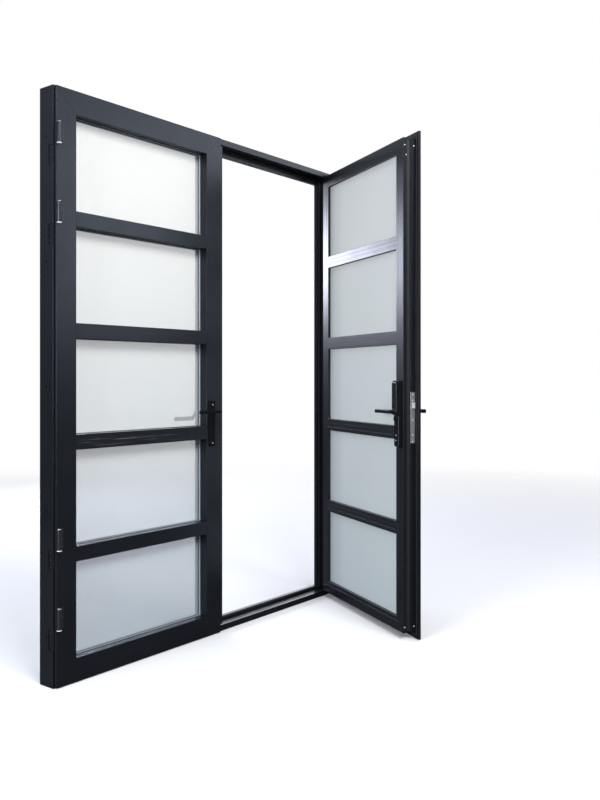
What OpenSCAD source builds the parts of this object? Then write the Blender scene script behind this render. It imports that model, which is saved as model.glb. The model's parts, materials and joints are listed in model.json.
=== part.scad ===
// Pair of glazed aluminium french doors in their frame: an active right leaf and a passive left leaf.
// Millimetres. X to the right, Y inward, Z up; the origin is the middle of the sill's underside.

/* [Frame] */
// Width of the frame
frame_w = 1900; // [1500:10:2400]
// Height of the frame
frame_h = 2400; // [1900:10:2900]
// Height of the frame's nose, from its outside to the rebate
nose_h = 29; // [26:1:40]
// Height of the stop above the nose, on jambs and head
stop_h = 32; // [20:1:45]
// Height of the stop above the nose, on the sill
sill_stop_h = 16; // [10:1:20]
// Depth of the stops, behind the leaves
stop_d = 22; // [18:1:50]
// Wall of the jambs on the side where the hinge wings are let in
frame_side_wall = 5.5; // [5:0.5:8]

/* [Leaves] */
// Thickness of a leaf
leaf_t = 78; // [74:1:100]
// How far the leaves stand inside the frame's outline
leaf_inset = 4; // [4:0.5:8]
// Gap between the two leaves' flanges
meeting_gap = 4; // [3:0.5:8]
// Thickness of the leaf's outer flange
flange_t = 12; // [10:0.5:14]
// Width of the flange beyond the leaf's core
overlap = 30; // [28:1:36]
// Face width of stiles and rails, flange included
stile_face = 96; // [90:1:120]
// Face width of a glazing bar
bar_face = 62; // [54:1:80]
// Wall of every hollow extrusion
wall = 2.5; // [1.5:0.1:3]
// Gap between flange and frame front, filled by a gasket
front_gap = 4; // [3:0.5:6]
// Gap between a leaf's inner face and the stop, filled by a gasket
stop_gap = 4; // [3:0.5:6]
// Distance of the hardware groove from the leaf's inner face
groove_back = 19; // [16:1:22]
// Width of the hardware groove in the leaf's edge
groove_w = 21; // [20:1:22]
// Depth of the hardware groove
groove_d = 8; // [8:0.5:10]

/* [Opening] */
// How far the left leaf is open
left_open = 0; // [0:1:100]
// How far the right leaf is open
right_open = 61.5; // [0:0.5:100]

/* [Glass] */
// Thickness of a glass sheet
sheet_t = 5; // [4:1:6]
// Cavity between the two sheets
cavity = 14; // [10:1:16]
// Depth of the outer reveal, from the leaf's outer face to the glass
reveal = 40; // [34:1:42]
// How deep the glass edge sits behind the sight line
bite = 16; // [12:1:18]
// Depth of the glazing rebate behind the sight line
rebate = 20; // [19:1:22]
// Thickness of the glazing gaskets
gasket_t = 4; // [3:0.5:5]
// Width of the spacer bars
spacer_w = 8; // [6:0.5:10]

/* [Hinges] */
// Radius of a hinge knuckle
knuckle_r = 10; // [9:0.5:12]
// Length of one knuckle
knuckle_l = 82.5; // [60:0.5:100]
// Radius of the hinge pin
pin_r = 5; // [4:0.5:6]
// Gap between a knuckle and the leaf's outer face
knuckle_gap = 1; // [0.5:0.5:2]
// Height of the first hinge, and of the last below the top
hinge_end = 235; // [150:5:300]
// Spacing of the two hinges of a pair
hinge_pitch = 315; // [250:5:400]
// Thickness of the hinge wings
wing_t = 3; // [2:0.5:3.5]
// Thickness of the washer between two knuckles
washer_t = 3; // [2:0.5:4]

/* [Handles] */
// Height of the lever spindles above the sill's underside
spindle_z = 1075; // [950:5:1150]
// Side of the square spindles
spindle_s = 8; // [7:1:9]
// Radius of a lever's grip
grip_r = 9; // [7:0.5:10]
// Length of a lever's grip
grip_l = 132; // [110:1:150]
// Distance of a grip's centre from the face it is fixed on
neck_l = 54; // [50:1:65]
// Width of the slim plates of the left leaf
slim_w = 36; // [32:1:40]
// Height of the slim plates
slim_h = 218; // [200:1:260]
// Thickness of the slim plates
slim_t = 8; // [6:0.5:10]
// Distance of the left spindle below the slim plate's top
slim_top = 50; // [40:1:70]
// Drop of the left leaf's cranked inner grip
crank_drop = 38; // [30:1:42]
// Length of the cranked grip
crank_l = 112; // [100:1:150]
// Width of the lock plates of the right leaf
lock_plate_w = 44; // [40:1:48]
// Height of the lock plates
lock_plate_h = 314; // [280:1:340]
// Thickness of the inner lock plate's upper housing
housing_t = 33; // [26:1:36]
// Thickness of the inner lock plate's lower part
lower_t = 20; // [14:1:22]
// Thickness of the outer lock plate
outer_plate_t = 10; // [8:0.5:12]

/* [Lock] */
// Height of the lock faceplate
faceplate_h = 241; // [230:1:280]
// Width of the lock faceplate
faceplate_w = 24; // [22:1:24]
// Height of the key cylinder below the spindle
cylinder_drop = 33; // [30:1:40]
// Radius of the key cylinder
cylinder_r = 8.5; // [8:0.5:9]
// Throw of the latch
latch_throw = 12; // [10:0.5:12]
// Throw of the dead bolt
dead_throw = 20; // [14:1:22]
// Throw of the shoot bolts
shoot_throw = 20; // [14:1:22]

/* [Clearances] */
// Between the leaf's core and the frame's rebate
core_gap = 5; // [5:0.5:7]
// Between a hinge pin and its bore
pin_clear = 0.05; // [0.02:0.01:0.1]
// Between parts that slide or stand in a cut-out
fit_clear = 0.3; // [0.1:0.05:0.4]
// Between a gasket and the face that closes on it
gasket_clear = 0.3; // [0.1:0.1:0.5]

/* [Hidden] */
$fn = 64;
body_color = [0.13, 0.14, 0.16];
dark_color = [0.07, 0.07, 0.08];
rubber_color = [0.04, 0.04, 0.04];
steel_color = [0.72, 0.73, 0.75];
white_color = [0.90, 0.90, 0.88];
glass_color = [0.82, 0.88, 0.90, 0.45];
spacer_color = [0.80, 0.82, 0.84];

// Leaf, in its own axes: x from the hinge-side flange edge, y inward from the outer face, z from its foot
bars = 4;
stop_y = leaf_t - flange_t - front_gap + stop_gap;
frame_d = stop_y + stop_d;
leaf_w = (frame_w - 2 * leaf_inset - meeting_gap) / 2;
leaf_h = frame_h - 2 * leaf_inset;
leaf_y = -frame_d / 2 - front_gap - flange_t;
core_w = stile_face - overlap;
core_inner = stile_face - rebate;
sight_w = leaf_w - 2 * stile_face;
pane_h = (leaf_h - 2 * stile_face - bars * bar_face) / (bars + 1);
pane_pitch = pane_h + bar_face;
lip_t = reveal - gasket_t;
glass_t = 2 * sheet_t + cavity;
bead_y = reveal + glass_t + gasket_t;
groove_y = leaf_t - groove_back - groove_w;
handle_a = (overlap + stile_face) / 2;
spindle_h = spindle_z - leaf_inset;

// Frame, from its outside inward and from its front inward
jamb_u = nose_h + stop_h;
sill_u = nose_h + sill_stop_h;
fixing_r = 4;
fixing_end = 200;
fixings = 5;
fixing_z = [for (k = [0:fixings - 1]) fixing_end + k * (frame_h - 2 * fixing_end) / (fixings - 1)];
frame_arm = 110;
frame_cleat_d = 30;
leaf_arm = 150;
leaf_cleat_gap = 8;
keep_end = 20;
keep_side = 5;
keep_t = 2;
gasket_in = 4;
gasket_face = 12;
sill_gasket = [3, 10];

// Hinges
axis_in = knuckle_r;
axis_out = knuckle_r + knuckle_gap;
axis_x = axis_in - leaf_inset;
hinge_z = [hinge_end, hinge_end + hinge_pitch, frame_h - hinge_end - hinge_pitch, frame_h - hinge_end];
pin_head_t = 3;
pin_foot = 6;
wing_w = 28;
wing_back = 57;

// Lock and handles, heights from the leaf's foot
lock_y = flange_t + 2 + faceplate_w / 2;
face_z0 = spindle_h - 149;
latch_h = 27;
latch_z = spindle_h + 16;
bolt_h = 25;
dead_z = spindle_h - 90;
bolt_t = 12;
case_t = 18;
case_wall = 1.5;
case_a = stile_face - rebate - wall - 0.5;
cylinder_z = spindle_h - cylinder_drop;
lock_plate_z = spindle_h - 167;
housing_z = spindle_h - 13;
strike_h = faceplate_h - 30;
strike_z = face_z0 + 15;
rose_t = 6;
rose_r = 14;
neck_r = 8;
crank_run = neck_l - slim_t - rose_t - 6;
crank_half = 10;
neck_out = neck_r + 2;
spindle_seat = neck_l - 14;
crank_seat = slim_t + rose_t + 8;
spindle_r = spindle_s * 0.75;
screw_r = 4;
screw_t = 0.8;
slim_screws = [spindle_h + slim_top - 19, spindle_h + slim_top - slim_h + 16];
lock_screws = [lock_plate_z + 30, lock_plate_z + 54];
outer_foot_t = outer_plate_t - 4;
gearbox_up = 50;
gearbox_down = 70;
gearbox_gap = 8;
bolt_up = gearbox_up - 20;
bolt_down = gearbox_down - 10;
case_end = 10;
latch_tail = 22;
dead_l = 40;
cylinder_out = 10;
turn_r = 3;
turn_in = 18;
turn_plate_r = 11;
turn_plate_t = 4;
turn_grip = [6, 9, 20];

// False mullion, in the left leaf's axes
mullion_x = leaf_w - overlap;
mullion_w = 2 * overlap + meeting_gap - core_gap;
mullion_y = flange_t + front_gap;
mullion_back = leaf_t + stop_gap;
mullion_cover = 8;
mullion_lap = 6;
cap_h = 4;

// ---- Placing ----

// A leaf's axes in the frame; the right leaf is the left one mirrored, each turned open about its hinges
module in_leaf(side) {
    open = side == "left" ? left_open : right_open;
    mirror([side == "left" ? 0 : 1, 0, 0])
        translate([-frame_w / 2 + axis_in, leaf_y - axis_out, 0])
            rotate([0, 0, -open])
                translate([-axis_x, axis_out, leaf_inset])
                    children();
}

// A jamb's axes on either side of the frame: x inward from the outside, y from the frame's front
module in_frame(side) {
    mirror([side == "left" ? 0 : 1, 0, 0])
        translate([-frame_w / 2, -frame_d / 2, 0])
            children();
}

// The meeting edge of a leaf: x counted back from its flange edge
module at_meeting() {
    translate([leaf_w, 0, 0])
        mirror([1, 0, 0])
            children();
}

module box(x, y, z) {
    translate([x[0], y[0], z[0]])
        cube([x[1] - x[0], y[1] - y[0], z[1] - z[0]]);
}

module rect(x, y) {
    translate([x[0], y[0]])
        square([x[1] - x[0], y[1] - y[0]]);
}

// A round bar along Y
module y_rod(x, y, z, r) {
    translate([x, y[1], z])
        rotate([90, 0, 0])
            cylinder(r = r, h = y[1] - y[0]);
}

// An outline in X and Z, thick along Y
module y_slab(y) {
    translate([0, y[1], 0])
        rotate([90, 0, 0])
            linear_extrude(y[1] - y[0])
                children();
}

// A frame outline of a pane, given by its inner edge and its width
module pane_ring(k, inner, width, y) {
    x0 = stile_face + inner;
    z0 = stile_face + k * pane_pitch + inner;
    w = sight_w - 2 * inner;
    h = pane_h - 2 * inner;
    y_slab(y)
        difference() {
            translate([x0 - width, z0 - width])
                square([w + 2 * width, h + 2 * width]);
            translate([x0, z0])
                square([w, h]);
        }
}

// ---- Extrusions ----

module leaf_section() {
    mid = core_inner - wall;
    difference() {
        union() {
            rect([0, stile_face], [0, flange_t]);
            rect([overlap, stile_face], [0, lip_t]);
            rect([overlap, core_inner], [0, leaf_t]);
        }
        rect([wall, overlap - wall], [wall, flange_t - wall]);
        rect([core_inner, stile_face - wall], [wall, lip_t - wall]);
        rect([overlap + wall, mid], [wall, groove_y - wall]);
        rect([overlap + wall, mid], [groove_y + groove_w + wall, leaf_t - wall]);
        rect([overlap + groove_d + wall, mid], [groove_y - wall, groove_y + groove_w + wall]);
        rect([overlap - 1, overlap + groove_d], [groove_y, groove_y + groove_w]);
    }
}

module frame_section(height, side_wall) {
    difference() {
        union() {
            rect([0, nose_h], [0, frame_d]);
            rect([0, nose_h + height], [stop_y, frame_d]);
        }
        rect([side_wall, nose_h - wall], [wall, frame_d - wall]);
        rect([nose_h, nose_h + height - wall], [stop_y + wall, frame_d - wall]);
    }
}

// Anti-slip grooves along the sill's top
module sill_section() {
    difference() {
        frame_section(sill_stop_h, wall);
        for (k = [0:2])
            rect([nose_h - 1, nose_h + 1], [14 + 14 * k, 18 + 14 * k]);
    }
}

// A length with both ends cut at 45 degrees
module mitred(length, face, depth) {
    intersection() {
        linear_extrude(length)
            children();
        y_slab([-1, depth + 1])
            polygon([[-1, -1], [face + 1, face + 1], [face + 1, length - face - 1], [-1, length + 1]]);
    }
}

// Turns a length that runs up into one that runs to the right
module lying() {
    mirror([1, 0, -1])
        children();
}

// ---- Frame ----

module jamb(side) {
    color(body_color)
        in_frame(side)
            difference() {
                intersection() {
                    linear_extrude(frame_h)
                        frame_section(stop_h, frame_side_wall);
                    y_slab([-1, frame_d + 1])
                        polygon([[-1, -1], [sill_u, sill_u], [jamb_u + 1, sill_u],
                                 [jamb_u + 1, frame_h - jamb_u - 1], [-1, frame_h + 1]]);
                }
                for (z = fixing_z)
                    fixing_hole(z);
                for (z = hinge_z)
                    box([-1, wing_t], [-1, wing_back - front_gap - flange_t - axis_out],
                        [z - knuckle_l - washer_t / 2, z - washer_t / 2]);
            }
}

module fixing_hole(z) {
    translate([-1, frame_d / 2, z])
        rotate([0, 90, 0])
            cylinder(r = fixing_r, h = nose_h + 2);
}

module frame_head() {
    color(body_color)
        translate([-frame_w / 2, -frame_d / 2, frame_h])
            mirror([0, 0, 1])
                difference() {
                    lying()
                        mitred(frame_w, jamb_u, frame_d)
                            frame_section(stop_h, wall);
                    shoot_slot();
                }
}

module frame_sill() {
    color(body_color)
        translate([-frame_w / 2, -frame_d / 2, 0])
            difference() {
                lying()
                    mitred(frame_w, sill_u, frame_d)
                        sill_section();
                shoot_slot();
            }
}

// Where a shoot bolt enters the nose, in axes that start at the frame's left front corner
shoot_x = [leaf_inset + leaf_w - overlap - groove_d + fit_clear, leaf_inset + leaf_w - overlap - fit_clear];
shoot_y = [groove_y - flange_t - front_gap + fit_clear,
           groove_y - flange_t - front_gap + groove_w - fit_clear];
slot_clear = 1.5;

module shoot_slot() {
    box([shoot_x[0] - slot_clear, shoot_x[1] + slot_clear],
        [shoot_y[0] - slot_clear, shoot_y[1] + slot_clear], [wall + 1, nose_h + 4]);
}

module bolt_keep() {
    difference() {
        box([shoot_x[0] - keep_end, shoot_x[1] + keep_end],
            [shoot_y[0] - keep_side, shoot_y[1] + keep_side], [nose_h, nose_h + keep_t]);
        shoot_slot();
    }
}

module bolt_keeps() {
    color(steel_color) {
        translate([-frame_w / 2, -frame_d / 2, 0])
            bolt_keep();
        translate([-frame_w / 2, -frame_d / 2, frame_h])
            mirror([0, 0, 1])
                bolt_keep();
    }
}

// An L-shaped block inside a mitred corner
module cleat(from, width, arm, y) {
    y_slab(y)
        polygon([[from, from], [arm, from], [arm, from + width], [from + width, from + width],
                 [from + width, arm], [from, arm]]);
}

module frame_corner_cleats() {
    width = nose_h - wall - frame_side_wall;
    color(steel_color)
        for (side = ["left", "right"], top = [0, 1])
            in_frame(side)
                translate([0, 0, top * frame_h])
                    mirror([0, 0, top])
                        cleat(frame_side_wall, width, frame_arm, [wall, frame_cleat_d]);
}

module frame_gaskets() {
    y = [stop_y - stop_gap + gasket_clear, stop_y];
    u = [nose_h + gasket_in, nose_h + gasket_in + gasket_face];
    color(rubber_color) {
        for (side = ["left", "right"])
            in_frame(side)
                box(u, y, [sill_u, frame_h - u[0]]);
        translate([-frame_w / 2, -frame_d / 2, frame_h])
            mirror([0, 0, 1])
                box([u[1], frame_w - u[1]], y, u);
        translate([-frame_w / 2, -frame_d / 2, 0])
            box([u[0], frame_w - u[0]], y,
                [nose_h + sill_gasket[0], nose_h + sill_gasket[0] + sill_gasket[1]]);
    }
}

// ---- Hinges ----

hinge_y = -front_gap - flange_t - axis_out;

module frame_hinge_halves() {
    color(dark_color)
        for (side = ["left", "right"], z = hinge_z)
            in_frame(side) {
                z0 = z - washer_t / 2 - knuckle_l;
                difference() {
                    union() {
                        translate([axis_in, hinge_y, z0])
                            cylinder(r = knuckle_r, h = knuckle_l);
                        box([0, wing_t], [hinge_y, hinge_y + wing_back], [z0, z0 + knuckle_l]);
                    }
                    translate([axis_in, hinge_y, z0 + pin_foot])
                        cylinder(r = pin_r + pin_clear, h = knuckle_l);
                }
            }
}

module hinge_pins() {
    color(steel_color)
        for (side = ["left", "right"], z = hinge_z)
            in_frame(side)
                translate([axis_in, hinge_y, 0]) {
                    z0 = z - washer_t / 2 - knuckle_l + pin_foot;
                    z1 = z + washer_t / 2 + knuckle_l;
                    translate([0, 0, z0])
                        cylinder(r = pin_r, h = z1 - z0);
                    translate([0, 0, z1])
                        cylinder(r = knuckle_r - 2, h = pin_head_t);
                }
}

module hinge_washers() {
    color(white_color)
        for (side = ["left", "right"], z = hinge_z)
            in_frame(side)
                translate([axis_in, hinge_y, z - washer_t / 2])
                    difference() {
                        cylinder(r = knuckle_r, h = washer_t);
                        translate([0, 0, -1])
                            cylinder(r = pin_r + pin_clear, h = washer_t + 2);
                    }
}

module leaf_hinge_halves(side) {
    color(dark_color)
        in_leaf(side)
            for (z = hinge_z) {
                z0 = z + washer_t / 2 - leaf_inset;
                difference() {
                    union() {
                        translate([axis_x, -axis_out, z0])
                            cylinder(r = knuckle_r, h = knuckle_l);
                        box([axis_x, axis_x + wing_w], [-wing_t, 0], [z0, z0 + knuckle_l]);
                    }
                    translate([axis_x, -axis_out, z0 - 1])
                        cylinder(r = pin_r + pin_clear, h = knuckle_l + 2);
                }
            }
}

// ---- Leaf members ----

module hinge_stile(side) {
    color(body_color)
        in_leaf(side)
            mitred(leaf_h, stile_face, leaf_t)
                leaf_section();
}

module left_meeting_stile() {
    color(body_color)
        in_leaf("left")
            at_meeting()
                difference() {
                    mitred(leaf_h, stile_face, leaf_t)
                        leaf_section();
                    spindle_bore();
                }
}

module right_meeting_stile() {
    color(body_color)
        in_leaf("right")
            at_meeting()
                difference() {
                    mitred(leaf_h, stile_face, leaf_t)
                        leaf_section();
                    spindle_bore();
                    y_rod(handle_a, [-1, leaf_t + 1], cylinder_z, cylinder_r + fit_clear);
                    box([overlap - 1, overlap + wall],
                        [lock_y - faceplate_w / 2 - fit_clear, lock_y + faceplate_w / 2 + fit_clear],
                        [face_z0 - fit_clear, face_z0 + faceplate_h + fit_clear]);
                }
}

module spindle_bore() {
    y_rod(handle_a, [-1, leaf_t + 1], spindle_h, spindle_r);
}

module bottom_rail(side) {
    color(body_color)
        in_leaf(side)
            lying()
                mitred(leaf_w, stile_face, leaf_t)
                    leaf_section();
}

module top_rail(side) {
    color(body_color)
        in_leaf(side)
            translate([0, 0, leaf_h])
                mirror([0, 0, 1])
                    lying()
                        mitred(leaf_w, stile_face, leaf_t)
                            leaf_section();
}

// Bar number k, counted from the foot: a face box between the stiles and a web that reaches their rebates
module bar(side, k) {
    middle = stile_face + k * pane_pitch - bar_face / 2;
    web = bar_face / 2 - rebate;
    color(body_color)
        in_leaf(side)
            translate([0, 0, middle])
                difference() {
                    union() {
                        box([stile_face, leaf_w - stile_face], [0, lip_t], [-bar_face / 2, bar_face / 2]);
                        box([core_inner, leaf_w - core_inner], [lip_t, leaf_t], [-web, web]);
                    }
                    box([0, leaf_w], [wall, lip_t - wall], [wall - bar_face / 2, bar_face / 2 - wall]);
                    box([0, leaf_w], [lip_t, leaf_t - wall], [wall - web, web - wall]);
                }
}

module corner_cleats(side) {
    width = core_w - rebate - 2 * wall;
    color(steel_color)
        in_leaf(side)
            for (far = [0, 1], top = [0, 1])
                translate([far * leaf_w, 0, top * leaf_h])
                    mirror([far, 0, 0])
                        mirror([0, 0, top])
                            cleat(overlap + wall, width, leaf_arm, [wall, groove_y - wall - leaf_cleat_gap]);
}

// ---- Glazing ----

module panes(side) {
    color(glass_color)
        in_leaf(side)
            for (k = [0:bars], y = [reveal, reveal + sheet_t + cavity])
                box([stile_face - bite, leaf_w - stile_face + bite], [y, y + sheet_t],
                    [stile_face + k * pane_pitch - bite, stile_face + k * pane_pitch + pane_h + bite]);
}

module spacers(side) {
    color(spacer_color)
        in_leaf(side)
            for (k = [0:bars])
                pane_ring(k, 0.5, spacer_w, [reveal + sheet_t, reveal + sheet_t + cavity]);
}

module beads(side) {
    bead_wall = 1.5;
    color(body_color)
        in_leaf(side)
            for (k = [0:bars])
                difference() {
                    pane_ring(k, 0, rebate, [bead_y, leaf_t]);
                    pane_ring(k, -bead_wall, rebate - 2 * bead_wall, [bead_y - 1, leaf_t - bead_wall]);
                }
}

// Glazing gaskets on both faces of each unit, and the seal on the back of the flange
module gaskets(side) {
    gasket_w = 6;
    seal = [12, 20];
    color(rubber_color)
        in_leaf(side) {
            for (k = [0:bars], y = [lip_t, reveal + glass_t])
                pane_ring(k, 0, gasket_w, [y, y + gasket_t]);
            y_slab([flange_t, flange_t + front_gap - gasket_clear])
                difference() {
                    rect([seal[0], leaf_w - seal[0]], [seal[0], leaf_h - seal[0]]);
                    rect([seal[1], leaf_w - seal[1]], [seal[1], leaf_h - seal[1]]);
                }
            if (side == "left")
                mullion_seal();
        }
}

// ---- Passive leaf: false mullion, bolts and slim handles ----

// A box as wide as the mullion's body
module mullion_body(y, z) {
    box([mullion_x, mullion_x + mullion_w], y, z);
}

// The mullion's cover stands in front of the stops, so it ends short of the sill's and the head's
module false_mullion() {
    z = [overlap + cap_h, leaf_h - overlap - cap_h];
    cover_z = [sill_u + 3 - leaf_inset, frame_h - jamb_u - 3 - leaf_inset];
    cover_y = mullion_back + mullion_cover;
    lap_x = leaf_w + meeting_gap + overlap + mullion_lap;
    body_x = mullion_x + mullion_w - wall;
    color(body_color)
        in_leaf("left")
            difference() {
                union() {
                    mullion_body([mullion_y, leaf_t], z);
                    mullion_body([leaf_t, cover_y], cover_z);
                    box([mullion_x, lap_x], [mullion_back, cover_y], cover_z);
                }
                box([mullion_x + wall, body_x], [mullion_y + wall, leaf_t - wall], [z[0] - 1, z[1] + 1]);
                box([mullion_x + wall, body_x], [leaf_t, cover_y - wall], [cover_z[0] - 1, cover_z[1] + 1]);
                strike_cut(fit_clear);
            }
}

// The seal that the active leaf's inner face closes on
module mullion_seal() {
    x = leaf_w + meeting_gap + overlap;
    box([x + 1, x + mullion_lap - 1], [leaf_t + gasket_clear, mullion_back], [sill_u + 3 - leaf_inset,
        frame_h - jamb_u - 3 - leaf_inset]);
}

module mullion_end_caps() {
    color(dark_color)
        in_leaf("left") {
            mullion_body([mullion_y, leaf_t], [overlap, overlap + cap_h]);
            mullion_body([mullion_y, leaf_t], [leaf_h - overlap - cap_h, leaf_h - overlap]);
        }
}

module strike_cut(clear) {
    x1 = mullion_x + mullion_w;
    box([x1 - wall, x1 + clear], [mullion_y + 1 - clear, lock_y + faceplate_w / 2 + clear],
        [strike_z - clear, strike_z + strike_h + clear]);
}

module strike_plate() {
    x1 = mullion_x + mullion_w;
    pocket_clear = 1.5;
    color(steel_color)
        in_leaf("left")
            difference() {
                strike_cut(0);
                for (bolt = [[latch_z, latch_h], [dead_z, bolt_h]])
                    box([x1 - wall - 1, x1 + 1],
                        [lock_y - bolt_t / 2 - pocket_clear, lock_y + bolt_t / 2 + pocket_clear],
                        [bolt[0] - pocket_clear, bolt[0] + bolt[1] + pocket_clear]);
            }
}

module left_gearbox() {
    color(steel_color)
        in_leaf("left")
            at_meeting()
                difference() {
                    box([overlap + groove_d + wall, core_inner - wall],
                        [groove_y - wall, leaf_t - wall - gearbox_gap],
                        [spindle_h - gearbox_down, spindle_h + gearbox_up]);
                    spindle_bore();
                }
}

// A flat bolt in the edge groove, from the gearbox to the end of the leaf
module shoot_bolt(z0, z1) {
    color(steel_color)
        in_leaf("left")
            at_meeting()
                box([overlap + fit_clear, overlap + groove_d - fit_clear],
                    [groove_y + fit_clear, groove_y + groove_w - fit_clear], [z0, z1]);
}

module top_shoot_bolt() {
    shoot_bolt(spindle_h + bolt_up, leaf_h - overlap);
}

module bottom_shoot_bolt() {
    shoot_bolt(overlap, spindle_h - bolt_down);
}

module left_plates() {
    z = [spindle_h + slim_top - slim_h, spindle_h + slim_top];
    color(dark_color)
        in_leaf("left")
            at_meeting()
                difference() {
                    for (y = [-slim_t, leaf_t])
                        box([handle_a - slim_w / 2, handle_a + slim_w / 2], [y, y + slim_t], z);
                    y_rod(handle_a, [-slim_t - 1, leaf_t + slim_t + 1], spindle_h, spindle_r);
                }
}

// Round-headed screws standing on a plate's two faces
module plate_screws(side, x, heights, faces) {
    color(steel_color)
        in_leaf(side)
            at_meeting()
                for (z = heights) {
                    y_rod(x, [faces[0] - screw_t, faces[0]], z, screw_r);
                    y_rod(x, [faces[1], faces[1] + screw_t], z, screw_r);
                }
}

module left_plate_screws() {
    plate_screws("left", handle_a, slim_screws, [-slim_t, leaf_t + slim_t]);
}

module spindle(side, faces) {
    color(steel_color)
        in_leaf(side)
            at_meeting()
                box([handle_a - spindle_s / 2, handle_a + spindle_s / 2], faces,
                    [spindle_h - spindle_s / 2, spindle_h + spindle_s / 2]);
}

// A lever, drawn on a face at y = 0 that looks toward -Y: rose, neck, and a grip toward the hinges
module lever(plate_t) {
    color(dark_color) {
        y_rod(0, [-plate_t - rose_t, -plate_t - fit_clear], 0, rose_r);
        y_rod(0, [-neck_l, -plate_t - rose_t], 0, neck_r);
        translate([-neck_out, -neck_l, 0])
            rotate([0, 90, 0])
                cylinder(r = grip_r, h = grip_l + neck_out);
    }
}

// The same with a neck that slopes down to a flat grip
module cranked_lever(plate_t, drop) {
    tilt = atan2(drop, crank_run);
    color(dark_color) {
        y_rod(0, [-plate_t - rose_t, -plate_t - fit_clear], 0, rose_r);
        y_rod(0, [-crank_seat - 4, -plate_t - rose_t], 0, neck_r);
        translate([0, crank_run - neck_l, 0])
            rotate([90 + tilt, 0, 0])
                cylinder(r = neck_r, h = norm([crank_run, drop]) + 3);
        y_slab([-neck_l - crank_half, -neck_l + crank_half / 2])
            rect([-neck_out, crank_l], [-drop - crank_half, -drop + crank_half]);
    }
}

// Places a lever on the outer or on the inner face of a leaf's meeting stile
module on_face(side, face, seat = spindle_seat) {
    in_leaf(side)
        at_meeting()
            translate([handle_a, face == "outer" ? 0 : leaf_t, spindle_h])
                mirror([0, face == "outer" ? 0 : 1, 0])
                    difference() {
                        children();
                        box([-spindle_s / 2, spindle_s / 2], [-seat, 0], [-spindle_s / 2, spindle_s / 2]);
                    }
}

module left_outer_lever() {
    on_face("left", "outer")
        lever(slim_t);
}

module left_inner_lever() {
    on_face("left", "inner", crank_seat)
        cranked_lever(slim_t, crank_drop);
}

module left_spindle() {
    spindle("left", [-spindle_seat, leaf_t + crank_seat]);
}

// ---- Active leaf: lock and handles ----

module right_plates() {
    color(dark_color)
        in_leaf("right")
            at_meeting()
                difference() {
                    union() {
                        translate([handle_a - lock_plate_w / 2, leaf_t, 0])
                            lock_plate(housing_t, lower_t);
                        translate([handle_a - lock_plate_w / 2, 0, 0])
                            mirror([0, 1, 0])
                                lock_plate(outer_plate_t, outer_foot_t);
                    }
                    y_rod(handle_a, [-outer_plate_t - 1, leaf_t + housing_t + 1], spindle_h, spindle_r);
                    y_rod(handle_a, [-outer_plate_t - 1, leaf_t + housing_t + 1], cylinder_z,
                          cylinder_r + fit_clear);
                }
}

// A lock plate on a face at y = 0: its side outline has a thick rounded housing above a thinner foot
module lock_plate(upper, lower) {
    z0 = lock_plate_z;
    z1 = lock_plate_z + lock_plate_h;
    r = upper * 0.4;
    rf = lower * 0.4;
    mirror([1, 0, -1])
        linear_extrude(lock_plate_w)
            mirror([1, -1, 0])
                union() {
                    rect([0, upper], [housing_z, z1 - r]);
                    rect([0, upper - r], [z1 - r, z1]);
                    translate([upper - r, z1 - r])
                        circle(r = r);
                    rect([0, lower], [z0 + rf, housing_z]);
                    rect([0, lower - rf], [z0, z0 + rf]);
                    translate([lower - rf, z0 + rf])
                        circle(r = rf);
                }
}

module right_plate_screws() {
    plate_screws("right", handle_a, lock_screws, [-outer_foot_t, leaf_t + lower_t]);
}

module right_outer_lever() {
    on_face("right", "outer")
        lever(outer_plate_t);
}

module right_inner_lever() {
    on_face("right", "inner")
        lever(housing_t);
}

module right_spindle() {
    spindle("right", [-spindle_seat, leaf_t + spindle_seat]);
}

module lock_case() {
    y = [lock_y - case_t / 2, lock_y + case_t / 2];
    z = [face_z0 + case_end, face_z0 + faceplate_h - case_end];
    color(steel_color)
        in_leaf("right")
            at_meeting()
                difference() {
                    box([overlap + wall, case_a], y, z);
                    box([overlap + wall - 1, case_a - case_wall], [y[0] + case_wall, y[1] - case_wall],
                        [z[0] + case_wall, z[1] - case_wall]);
                    y_rod(handle_a, [y[0] - 1, y[1] + 1], spindle_h, spindle_r);
                    y_rod(handle_a, [y[0] - 1, y[1] + 1], cylinder_z, cylinder_r + fit_clear);
                }
}

module lock_faceplate() {
    color(steel_color)
        in_leaf("right")
            at_meeting()
                difference() {
                    box([overlap, overlap + wall], [lock_y - faceplate_w / 2, lock_y + faceplate_w / 2],
                        [face_z0, face_z0 + faceplate_h]);
                    for (bolt = [[latch_z, latch_h], [dead_z, bolt_h]])
                        box([overlap - 1, overlap + wall + 1],
                            [lock_y - bolt_t / 2 - fit_clear, lock_y + bolt_t / 2 + fit_clear],
                            [bolt[0] - fit_clear, bolt[0] + bolt[1] + fit_clear]);
                }
}

// The latch's nose slopes on the side that meets the keep first
module latch_bolt() {
    x0 = overlap - latch_throw;
    color(steel_color)
        in_leaf("right")
            at_meeting()
                translate([0, 0, latch_z])
                    linear_extrude(latch_h)
                        polygon([[x0, lock_y - bolt_t / 2], [x0 + 2, lock_y - bolt_t / 2 + 3],
                                 [overlap - 1, lock_y + bolt_t / 2],
                                 [overlap + latch_tail, lock_y + bolt_t / 2],
                                 [overlap + latch_tail, lock_y - bolt_t / 2]]);
}

module dead_bolt() {
    color(steel_color)
        in_leaf("right")
            at_meeting()
                box([overlap, overlap + dead_l], [lock_y - bolt_t / 2, lock_y + bolt_t / 2],
                    [dead_z, dead_z + bolt_h]);
}

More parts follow.
